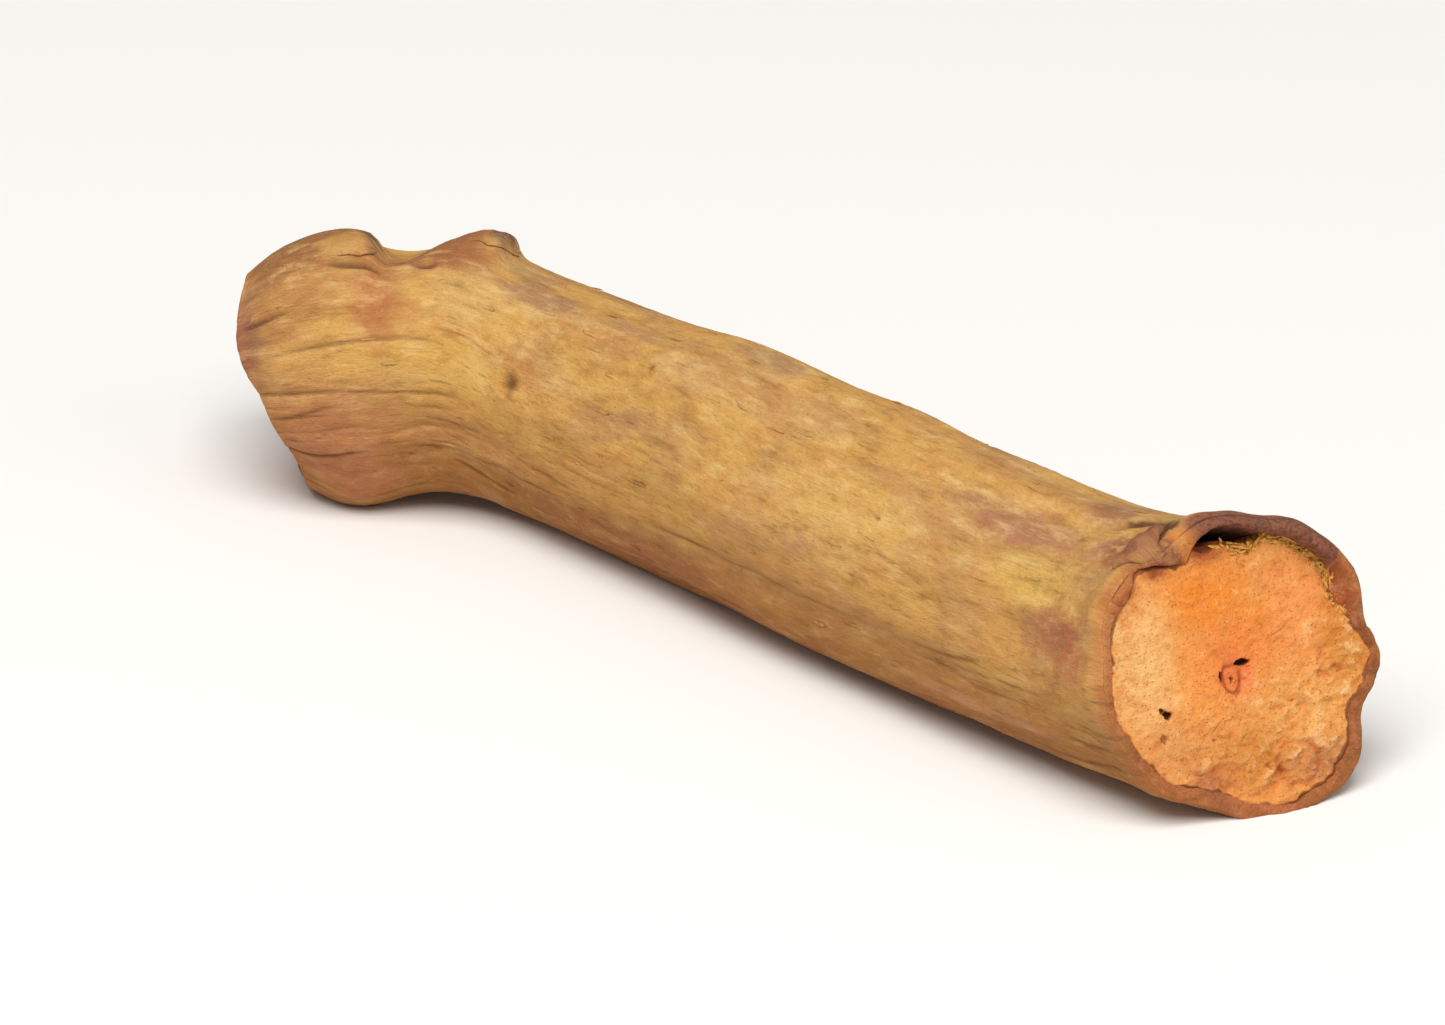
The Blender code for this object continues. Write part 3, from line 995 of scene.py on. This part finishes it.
def cut_relief(left, up, share, angle):
    """Height of the knife-cut face over its plane, in millimetres, and its marks.

    The blade left it crumbly: low swells, crumbs half a millimetre across and fine grain, torn
    deeper low on the far side, with torn curls there, fine rays near the bark and drying cracks.
    """
    flat = np.stack((left, up, 0 * left), -1)
    bent = flat + 0.35 * drift(flat / 1.3, (62, 63, 64))
    rays = on_ring(angle, 20, share * 3.5)
    torn = smooth_step(-1.5, 4.0, left * 0.55 - up) * smooth_step(0.15, 0.6, share)
    swell = noise(flat / 1.7, 50)
    crumbs = noise(bent / 0.62, 51)
    folds = 1 - np.abs(noise(bent / (0.75, 0.5, 0.5), 65)) * 2
    grain = noise(flat / 0.24, 52)
    height = 0.05 * swell + (0.035 + 0.045 * torn) * crumbs + (0.02 + 0.045 * torn) * folds
    height = height + (0.012 + 0.018 * torn) * grain + 0.008 * noise(flat / 0.11, 53)
    height = height + 0.012 * noise(rays, 49) * smooth_step(0.45, 0.9, share)

    crack = cut_cracks(share, angle)
    curl = torn_curls(flat, torn)
    height = height - 0.05 * crack
    height = height - 0.06 * curl

    # The knot's low dome and its groove, then the pith's loop in its hollow.
    knot_reach = np.hypot(left - KNOT[0], up - KNOT[1]) / KNOT[2] + 0.12 * crumbs
    height = height + 0.05 * smooth_step(1.1, 0.3, knot_reach)
    height = height - 0.07 * np.exp(-((knot_reach - 1.15) / 0.15) ** 2)
    pith_reach = np.hypot(1.2 * (left - PITH[0]), 0.75 * (up - PITH[1])) + 0.12 * noise(flat / 0.35, 66)
    lower_left = 0.6 * (PITH[0] - left) + 0.8 * (PITH[1] - up)
    loop = np.exp(-((pith_reach - 0.40) / 0.075) ** 2) * smooth_step(-0.75, -0.25, lower_left)
    height = height - 0.08 * loop - 0.05 * smooth_step(0.7, 0.2, pith_reach)

    # Frayed holes, the worn edge, the olive band and the brown margin beside the bark.
    frayed = 0.07 * noise(flat / 0.16, 59)
    holes = spots(left + frayed + 0.05 * crumbs, up + 0.6 * frayed - 0.05 * crumbs, CUT_HOLES)
    height = height - holes
    height = height - 0.16 * smooth_step(0.94, 1.0, share) ** 2 * (1 + noise(rays / 2, 60))
    bast = hump(angle, BAST_ANGLE, BAST_HALF_WIDTH, 4)
    bast = bast * smooth_step(0.90, 0.94, share + 0.02 * noise(rays / 1.5, 67))
    height = height - bast * (0.14 + 0.12 * noise(rays / (1.0, 1.0, 0.4), 68))
    broad = noise(rays / (3.0, 3.0, 9.0), 96)
    margin = smooth_step(0.925, 0.965, share + 0.015 * noise(rays / 1.3, 61) + 0.012 * broad)
    margin = margin * smooth_step(-0.55, 0.35, broad + 0.4 * noise(rays / 1.6, 97))
    marks = {
        "bast": bast,
        # The hollow mark is painted shade: holes darken the more the deeper they are, and cracks and curls
        # a little.
        "hollow": np.clip(holes * 4 + 0.30 * crack + 0.42 * curl, 0, 1),
        "ring": np.maximum(loop, 0.45 * np.exp(-((knot_reach - 1.1) / 0.22) ** 2)),
        "margin": margin,
        "torn": torn,
        "relief": np.clip(0.5 + height * 4, 0, 1),
    }
    return height, marks


def snap_relief(left, up, share, angle):
    """Height of the snapped face, in millimetres: wedges of fibre broken off at unlike heights."""
    flat = np.stack((left, up, 0 * left), -1)
    spread = 9.0 / (np.hypot(left, up) + 1.7)[..., None]
    wedge = flat * spread + np.stack((0 * share, 0 * share, 2.4 * share), -1)
    wedge = wedge + 0.6 * drift(flat / 0.8, (73, 75, 76))
    _, margin, number = cells(wedge, 70)
    height = 0.35 * (1 - share ** 2) + 0.38 * (number - 0.5) * smooth_step(0.0, 0.30, margin) - 0.42
    height = height + 0.45 * noise(flat / 2.4, 71)
    height = height + 0.07 * noise(flat / 0.35, 72) + 0.04 * noise(flat / 0.15, 74)
    height = height - 0.35 * smooth_step(0.10, 0.03, share)
    split = smooth_step(0.07, 0.0, margin) * smooth_step(-0.1, 0.5, noise(flat / 1.1, 77))
    marks = {
        "bast": 0 * share,
        # Painted shade in the splits between the wedges.
        "hollow": 0.6 * split,
        "ring": 0 * share,
        "margin": smooth_step(0.9, 1.0, share),
        "torn": 0 * share + 1,
        "relief": np.clip(0.5 + height, 0, 1),
    }
    return height, marks


def wood_tint(left, up, ragged):
    """The colour of the cut: a base with soft-edged oval stains laid over it, one after another."""
    tint = np.broadcast_to(paint(WOOD_BASE)[:3], left.shape + (3,))
    for at_left, at_up, half_width, half_height, code, strength in WOOD_STAINS:
        reach = np.hypot((left - at_left) / half_width, (up - at_up) / half_height) + 0.30 * ragged
        tint = laid(tint, strength * smooth_step(1.25, 0.25, reach), paint(code))
    return tint


def wood_surface():
    """The wood as one closed surface: the snapped face from its middle, the side, and the cut face.

    A face's rings shrink in step from the wood's edge, and its relief stands out along its normal.
    """
    angle = once_round(WOOD_AROUND)[None, :]
    snap_share = np.linspace(1 / SNAP_RINGS, 1, SNAP_RINGS)[:, None]
    cut_share = np.linspace(1, 1 / CUT_RINGS, CUT_RINGS)[:, None]
    side_x = np.linspace(SNAP_X, CUT_X, SIDE_RINGS + 2)[1:-1, None]
    spread = rim_shape(angle)[1] - wood_gap(angle)
    ragged_edge = 0.07 * MM * noise(on_ring(angle, 14), 73)

    def edge(x):
        """The wood's radius: the root's, less the bark's thickness and what the wood shrank."""
        loose = WOOD_SHRINK - spread * near_cut(x) + ragged_edge + (WALL_CLEARANCE + 0.1 * MM) * buried(x)
        detail = bark_detail(x, angle)[0]
        return root_radius(x, angle) + 0.4 * detail - wall_thickness(x, angle) - loose

    def face(x, share, relief):
        """The rings of one end's face, each a share of the edge, with the relief along the normal."""
        radius = share * edge(np.full_like(share[:1], x))
        left = -np.sin(angle) * radius / MM
        up = np.cos(angle) * radius / MM
        height, marks = relief(left, up, share + 0 * angle, angle + 0 * share)
        reach = snap_reach(np.array(x), angle) * share ** 2
        points = skin(np.array(x), angle + 0 * share, radius, height * MM + reach)
        return points, np.stack((left, up, height), -1), marks

    snap_points, snap_place, snap_marks = face(SNAP_X, snap_share, snap_relief)
    cut_points, cut_place, cut_marks = face(CUT_X, cut_share, cut_relief)
    side_points = skin(side_x, angle, np.vstack([edge(np.array([[x]])) for x in side_x.ravel()]))
    points = np.concatenate((snap_points, side_points, cut_points))
    place = np.concatenate((snap_place, 0 * side_points, cut_place))
    marks = {name: np.concatenate((snap_marks[name], 0 * side_points[..., 0], cut_marks[name]))
             for name in cut_marks}
    marks["snapped"] = np.concatenate((1 + 0 * snap_points[..., 0], 1 + 0 * side_points[..., 0],
                                       0 * cut_points[..., 0]))
    return points, place, marks


def with_ends(grids):
    """Values on copies of a grid, each copy followed by the means of its first and last rows."""
    ends = grids[:, (0, -1)].mean(2)
    return np.concatenate((grids.reshape(len(grids), -1, *grids.shape[3:]), ends), 1)


def closed_faces(copies, rows, columns):
    """Faces of copies of a tube of rings, with a point that closes each end, as with_ends lays them."""
    column = np.arange(columns)
    after = (column + 1) % columns
    first = np.stack((np.full(columns, rows * columns), after, column), -1)
    last_row = (rows - 1) * columns
    last = np.stack((last_row + column, last_row + after, np.full(columns, rows * columns + 1)), -1)
    starts = np.arange(copies)[:, None, None] * (rows * columns + 2)
    quads = (grid_faces(rows, columns) + starts).reshape(-1, 4)
    return quads.tolist() + (np.concatenate((first, last)) + starts).reshape(-1, 3).tolist()


# The wood's texture map: each face is a disc (across, up, radius), and its side a strip over them.
SNAP_DISC = (0.83, 0.17, 0.16)
CUT_DISC = (0.34, 0.34, 0.33)
SIDE_STRIP = (0.72, 0.98)


def wood_map(columns):
    """Texture places of the wood's corners: the snap's disc, the strip, the cut's disc, the middles."""
    turn = np.linspace(0, 2 * math.pi, columns + 1)[None, :]

    def disc(at, shares):
        """Rings on the map at shares of a disc's radius."""
        across, up, radius = at
        reach = radius * shares
        return np.stack((across + reach * np.cos(turn), up + reach * np.sin(turn)), -1)

    snap = disc(SNAP_DISC, np.linspace(1 / SNAP_RINGS, 1, SNAP_RINGS)[:, None])
    cut = disc(CUT_DISC, np.linspace(1, 1 / CUT_RINGS, CUT_RINGS)[:, None])
    strip_rows = np.linspace(*SIDE_STRIP, SIDE_RINGS + 2)[:, None] + 0 * turn
    strip = np.stack((0.02 + 0.96 * turn / (2 * math.pi) + 0 * strip_rows, strip_rows), -1)

    def corners(grid):
        """The four corners of each quad of a grid of places."""
        around = (grid[:-1, :-1], grid[:-1, 1:], grid[1:, 1:], grid[1:, :-1])
        return np.stack(around, 2).reshape(-1, 2)

    def fan(ring, middle, flip):
        """The three corners of each triangle between a ring and its middle."""
        centre = np.broadcast_to(middle, ring[:-1].shape)
        order = (centre, ring[1:], ring[:-1]) if flip else (ring[:-1], ring[1:], centre)
        return np.stack(order, 1).reshape(-1, 2)

    return np.concatenate((corners(snap), corners(strip), corners(cut),
                           fan(snap[0], SNAP_DISC[:2], True), fan(cut[-1], CUT_DISC[:2], False)))


HOLE_BROWN = paint("3C1C10")
RING_RED = paint("9C4428")
MARGIN_BROWN = paint("6C3216")
PALE_FIBRE = paint("F8CF94")
DEEP_ORANGE = paint("C46A2A")
CRUMB_BROWN = paint("9B5A2C")
OLD_WOOD = paint("B9763F")
OLIVE = paint("A06A24")
OLIVE_YELLOW = paint("DFA24A")


def wood_finish():
    """Raw orange wood: its stained tint, pale raised crumbs over deeper orange, pores, and holes and cracks
    painted dark as shade.
    """
    finish = Finish("madder_wood")
    tint = finish.add("ShaderNodeAttribute", {"attribute_name": "tint"}).outputs["Vector"]
    rays = finish.noise("ray_place", (1.0, 1.0, 1.0), 4.0, 0.6)
    mottle = finish.noise("cut_place", (1.9, 1.9, 1.9), 5.0, 0.65)
    grain = finish.noise("cut_place", (5.0, 5.0, 5.0), 4.0, 0.6)
    crumbs = finish.noise("cut_place", (13.0, 13.0, 13.0), 3.0, 0.6)
    pore_place = {"Vector": finish.place("cut_place", (6.5, 6.5, 2.0)), "Scale": 1.0}
    pores = Value(finish, finish.add("ShaderNodeTexVoronoi", (), pore_place).outputs["Distance"])
    torn = finish.mark("torn")

    raised = mottle * 0.5 + grain * 0.3 + finish.mark("relief") * 0.3
    margin = (finish.mark("margin") + (grain - 0.5) * 0.9).step(0.35, 0.95)
    olive = finish.layers(OLIVE, (rays.step(0.42, 0.62), OLIVE_YELLOW))
    colour = finish.layers(
        tint,
        (finish.mark("snapped") * 0.85, OLD_WOOD),
        (raised.step(0.60, 0.78) * 0.50, PALE_FIBRE),
        (raised.step(0.60, 0.40) * 0.65, DEEP_ORANGE),
        (rays.step(0.52, 0.70) * 0.12, PALE_FIBRE),
        ((crumbs + torn * 0.10).step(0.60, 0.78) * 0.20, CRUMB_BROWN),
        (crumbs.step(0.40, 0.24) * 0.16, PALE_FIBRE),
        (pores.step(0.22, 0.10) * 0.25, DEEP_ORANGE),
        (finish.mark("ring").step(0.2, 1.0) * 0.75, RING_RED),
        (margin * 0.80, MARGIN_BROWN),
        (finish.mark("bast").step(0.2, 0.8) * 0.9, olive),
        # Painted shade: holes, cracks, curls and splits near black-brown.
        (finish.mark("hollow").step(0.15, 0.8) * 0.95, HOLE_BROWN),
    )
    finish.feed(finish.shader, {
        "Base Color": colour,
        "Roughness": 0.88 - grain * 0.12,
        "Specular IOR Level": 0.25,
        "Normal": finish.relief((grain, 0.08 * MM), (crumbs, 0.035 * MM),
                                (pores.step(0.10, 0.25), 0.03 * MM)),
    })
    return finish.material


wood_points, wood_place, wood_marks = wood_surface()
wood_rows = len(wood_points)
cut_ragged = noise(wood_place / 0.8, 74) + 0.5 * noise(wood_place / 0.3, 75)
wood_angle = np.arctan2(wood_place[..., 0], wood_place[..., 1])
wood_reach = np.hypot(wood_place[..., 0], wood_place[..., 1])
ray_place = on_ring(wood_angle, 22, wood_reach * 1.2)
WOOD = wood_finish()
wood_colours = wood_tint(wood_place[..., 0], wood_place[..., 1], cut_ragged)
wood = mesh_piece(
    "wood", with_ends(wood_points[None]), closed_faces(1, wood_rows, WOOD_AROUND), WOOD,
    {name: with_ends(value[None]) for name, value in wood_marks.items()},
    {"cut_place": with_ends(wood_place[None]), "ray_place": with_ends(ray_place[None]),
     "tint": with_ends(wood_colours[None])},
    wood_map(WOOD_AROUND),
)
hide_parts("madder_root")


# Bark torn loose: the peeled end of the flap over the neck, the ledge at the side root's stub and a
# tab rolled up at the cut, each a bent sheet still rooted at one end, and small scales all over.

# (x, angle, half length, half width, thickness, lift of the free end, which end is free, and how far
# the side towards the top is set back)
FLAPS = measured("mdmmmm-m", (
    (-17.35, -11, 1.25, 0.80, 0.24, 0.06, 1, 0.0),
    (-20.75, 11, 0.90, 0.60, 0.24, 0.08, 1, 0.0),
))
TABS = measured("mdmmmm-m", (
    (21.05, 22.5, 1.85, 1.04, 0.90, 0.04, 1, 0.45),
))
FREE_END = 6                       # the column that says which end is free
SHEET_ROWS = 48
SHEET_COLUMNS = 40
SCALE_COUNT = 240
SCALE_ROWS = 7
SCALE_COLUMNS = 8


def sheets(table, rows, columns, seed, crumple, shift):
    """Closed sheets that lie on the bark: each a flat tube, pointed at its root and blunt where torn.

    The free end rises by a smooth step along the sheet, and its two sides curl up by the square of
    the place across. The rooted end is thin and sunk in. It has the bark's fine relief, read at a
    shifted x. Gives the points, and the x and angle of each.
    """
    at, around, half_length, half_width, thickness, lift, free, skew = np.array(table).T[:, :, None, None]
    share = np.linspace(-1, 1, rows)[None, :, None]
    turn = once_round(columns)[None, None, :]
    copy = np.arange(len(at))[:, None, None]
    line = np.stack(np.broadcast_arrays(share * 2.2, 7.3 * copy, 0.0), -1)
    blunt = np.where(share * free > 0, 8.0, 3.0)
    oval = np.sqrt(np.maximum(1 - np.abs(share) ** blunt, 0.01))
    loose = smooth_step(-0.9, 0.8, share * free)
    across = half_width * oval * (1 + 0.25 * noise(line, seed)) * np.cos(turn)
    angle = around + (across + 0.3 * half_width * noise(line / 1.6, seed + 1)) / MEAN_RADIUS
    torn_line = np.stack(np.broadcast_arrays(2.5 * np.cos(turn), 3.1 * copy, 0.0), -1)
    x = at + half_length * share * (1 + 0.12 * noise(torn_line, seed + 3))
    x = x + skew * np.cos(turn)
    on_root = np.clip(x, SNAP_X, CUT_X)
    over_it = np.stack(np.broadcast_arrays(3 * share, 1.5 * np.cos(turn), 5 * copy), -1)
    uneven = 1 + crumple * noise(over_it, seed + 2)
    rise = lift * loose * (1 + 0.6 * np.cos(turn) ** 2) * uneven - 0.3 * thickness * (1 - loose)
    body = 0.5 * thickness * oval * (0.3 + 0.7 * loose) * np.sin(turn) * uneven
    base = bark_radius(on_root, angle) + bark_detail(on_root + shift, angle)[0]
    grit = 0.10 * thickness * noise(root_place(on_root, angle) / 0.35 + 9, seed + 4)
    points = skin(on_root, angle, base + rise + body + grit * loose, np.maximum(x - CUT_X, 0))
    return points, x + 0 * angle, angle


def loose_bark(name, table, rows, columns, seed, crumple, shift=0.0, torn=0.0, purple=0.0):
    """Sheets of bark as one object, with the bark's finish: how torn and how purple is their free end.

    A purple sheet is also painted dark along the side towards the top, as shade in the crack where it parts
    from the bark.
    """
    points, x, angle = sheets(table, rows, columns, seed, crumple, shift)
    top_side = -np.cos(once_round(columns))
    free = np.array([row[FREE_END] for row in table])[:, None, None]
    share = np.linspace(-1, 1, rows)[None, :, None] * free + 0 * x
    marks = dict.fromkeys(("furrow", "fleck", "rim", "inner"), 0 * x)
    marks["deep"] = min(1.0, 1.6 * purple) * smooth_step(0.60, 0.92, top_side) + 0 * x
    marks["crest"] = 0.7 * (1 - purple) + 0 * x
    marks["lit_upper"] = 0.5 * (1 - purple) + 0 * x
    marks["broken"] = torn * smooth_step(0.6, 1.0, share)
    marks["lip"] = purple * smooth_step(-1.1, -0.2, share)
    copy_place = np.arange(len(x))[:, None, None, None] * np.array((0.37, 0.71, 0.53)) + 0.2
    copy_tone = 1 + 0.16 * noise(copy_place, seed)
    tint = bark_tint(x, angle) * copy_tone[..., None]
    piece = mesh_piece(
        name, with_ends(points), closed_faces(len(table), rows, columns), BARK,
        {mark: with_ends(value) for mark, value in marks.items()},
        {"root_place": with_ends(root_place(x, angle)), "tint": with_ends(tint)},
    )
    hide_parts("madder_root")


loose_bark("torn_flaps", FLAPS, SHEET_ROWS, SHEET_COLUMNS, 80, 0.35, torn=0.3)
loose_bark("rolled_tab", TABS, SHEET_ROWS, SHEET_COLUMNS, 84, 0.25, shift=-5 * MM, purple=0.55)

chance = np.random.default_rng(5)
scales = np.stack((
    chance.uniform(-22.0, 21.0, SCALE_COUNT) * MM,
    chance.uniform(-math.pi, math.pi, SCALE_COUNT),
    chance.uniform(0.20, 0.80, SCALE_COUNT) * MM,
    chance.uniform(0.03, 0.08, SCALE_COUNT) * MM,
    chance.uniform(0.02, 0.035, SCALE_COUNT) * MM,
    chance.uniform(0.0, 0.03, SCALE_COUNT) * MM,
    chance.choice((-1, 1), SCALE_COUNT),
    np.zeros(SCALE_COUNT),
), -1)
loose_bark("bark_scales", scales, SCALE_ROWS, SCALE_COLUMNS, 88, 0.35)


# Loose fibre: olive-yellow threads of inner bark torn up along the wood under the lifted lip, and
# short splinters of wood that stand out of the snapped end.
THREAD_COUNT = 170
THREAD_ROOT = 0.12 * MM            # how deep under the face a thread starts
THREAD_BLUNTNESS = 5
SPLINTER_COUNT = 48
SPLINTER_ROOT = 0.7 * MM
SPLINTER_BLUNTNESS = 2
STRAND_RINGS = 6
STRAND_SIDES = 6


def strands(starts, ends, bends, radii, bluntness):
    """Closed, tapering tubes: each follows a line from its start to its end, bowed by its bend.

    A ring is a circle across the line; its radius falls to a fifth by a power of the share along it.
    """
    share = np.linspace(0, 1, STRAND_RINGS)[None, :, None, None]
    turn = once_round(STRAND_SIDES)[None, None, :, None]
    reach = ends - starts
    reach = reach / np.linalg.norm(reach, axis=-1, keepdims=True)
    helper = np.where(np.abs(reach[:, 2:]) > 0.8, (1.0, 0.0, 0.0), (0.0, 0.0, 1.0))
    first = np.cross(helper, reach)
    first = first / np.linalg.norm(first, axis=-1, keepdims=True)
    second = np.cross(reach, first)
    first, second, starts, ends, bends = (v[:, None, None, :] for v in (first, second, starts, ends, bends))
    line = starts + (ends - starts) * share + bends * 4 * share * (1 - share)
    radius = radii[:, None, None, None] * (1 - 0.8 * share ** bluntness)
    return line + radius * (np.cos(turn) * first + np.sin(turn) * second)


def fibre_piece(name, points, marks, tint):
    """Strands as one object with the wood's finish, all of one colour with some spread."""
    blank = np.zeros(points.shape[:-1])
    spread = 1 + 0.25 * noise(points / (0.9 * MM), 92)[..., None]
    piece = mesh_piece(
        name, with_ends(points), closed_faces(len(points), STRAND_RINGS, STRAND_SIDES), WOOD,
        {mark: with_ends(blank + marks.get(mark, 0.0)) for mark in wood_marks},
        {"cut_place": with_ends(points / MM), "ray_place": with_ends(points / MM * (9, 9, 1)),
         "tint": with_ends(spread * np.array(tint[:3]))},
    )
    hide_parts("madder_root")


def end_places(x, angle, share, beyond):
    """Points on an end, at a share of the wood's radius there and beyond the end's plane."""
    x = np.full_like(angle, x)
    spread = np.where(x > 0, rim_shape(angle)[1] - wood_gap(angle), 0.0)
    radius = root_radius(x, angle) + spread - wall_thickness(x, angle) - WOOD_SHRINK
    return skin(x, angle, share * radius, beyond + snap_reach(x, angle) * share ** 2)


thread_angle = np.radians(chance.triangular(-88, -30, 0, THREAD_COUNT))
thread_share = chance.uniform(0.91, 0.99, THREAD_COUNT)
thread_turn = chance.normal(0, 4.0, THREAD_COUNT) * math.pi / 180
thread_height = chance.uniform(-0.04, 0.10, THREAD_COUNT) * MM
thread_drift = chance.uniform(-0.02, 0.05, THREAD_COUNT)
thread_start = end_places(CUT_X, thread_angle, thread_share, -THREAD_ROOT)
thread_end = end_places(CUT_X, thread_angle + thread_turn, thread_share + thread_drift, thread_height)
thread_bend = chance.normal(0, 0.03, (THREAD_COUNT, 3)) * MM
thread_radius = chance.uniform(0.04, 0.09, THREAD_COUNT) * MM
threads = strands(thread_start, thread_end, thread_bend, thread_radius, THREAD_BLUNTNESS)
fibre_piece("bast_threads", threads, {"bast": 0.5, "relief": 0.6}, OLIVE_YELLOW)

splinter_angle = chance.uniform(-math.pi, math.pi, SPLINTER_COUNT)
splinter_share = np.sqrt(chance.uniform(0.05, 0.75, SPLINTER_COUNT))
splinter_height = chance.uniform(-0.1, 0.30, SPLINTER_COUNT) * MM
splinter_lean = chance.uniform(0.9, 1.05, SPLINTER_COUNT)
splinter_start = end_places(SNAP_X, splinter_angle, splinter_share, -SPLINTER_ROOT)
splinter_end = end_places(SNAP_X, splinter_angle, splinter_share * splinter_lean, splinter_height)
splinter_bend = chance.normal(0, 0.08, (SPLINTER_COUNT, 3)) * MM
splinter_radius = chance.uniform(0.04, 0.10, SPLINTER_COUNT) * MM
splinters = strands(splinter_start, splinter_end, splinter_bend, splinter_radius, SPLINTER_BLUNTNESS)
fibre_piece("splinters", splinters, {"torn": 1.0, "relief": 0.6, "snapped": 0.8}, OLD_WOOD)


# The studio: a plain pale floor, two soft square lights over it, a pale sky, and a long lens that
# looks down on the stick from the cut's side.
STICK_MIDDLE = Vector((-1.2, -0.6, 4.6)) * MM
FLOOR_SIZE = 4.0
SKY = (1.0, 0.99, 0.97, 1.0)
SKY_STRENGTH = 0.32

# Lights: (name, azimuth, elevation, distance, size, power), in degrees, metres and watts
LIGHTS = (
    ("key", 38, 60, 0.60, 0.40, 4.1),
    ("fill", 100, 30, 0.80, 0.50, 0.7),
)
CAMERA = (46.5, 24.5, 0.65)        # its azimuth, elevation and distance
LENS = 425.0

bpy.ops.mesh.primitive_plane_add(size=FLOOR_SIZE)
floor = bpy.context.object
floor.name = "floor"
floor_finish = Finish("pale_floor")
floor_finish.feed(floor_finish.shader, {
    "Base Color": paint("ECEAE6"),
    "Roughness": 0.9,
    "Specular IOR Level": 0.1,
})
floor.data.materials.append(floor_finish.material)


def aimed(name, data, azimuth, elevation, distance):
    """A light or camera turned to the stick's middle; at azimuth 0 it would look along +Y."""
    azimuth = math.radians(azimuth)
    elevation = math.radians(elevation)
    back = Vector((math.sin(azimuth) * math.cos(elevation), -math.cos(azimuth) * math.cos(elevation),
                   math.sin(elevation)))
    turn = back.to_track_quat("Z", "Y").to_matrix().to_4x4()
    item = bpy.data.objects.new(name, data)
    item.matrix_world = Matrix.Translation(STICK_MIDDLE + back * distance) @ turn
    bpy.context.scene.collection.objects.link(item)
    return item


for light_name, azimuth, elevation, distance, size, power in LIGHTS:
    light_data = bpy.data.lights.new(light_name, "AREA")
    light_data.shape = "SQUARE"
    light_data.size = size
    light_data.energy = power
    aimed(light_name, light_data, azimuth, elevation, distance)

world = bpy.data.worlds.new("studio")
world.use_nodes = True
world.node_tree.nodes["Background"].inputs["Color"].default_value = SKY
world.node_tree.nodes["Background"].inputs["Strength"].default_value = SKY_STRENGTH
bpy.context.scene.world = world
bpy.context.scene.view_settings.view_transform = "Standard"

camera_data = bpy.data.cameras.new("camera")
camera_data.lens = LENS
bpy.context.scene.camera = aimed("camera", camera_data, *CAMERA)
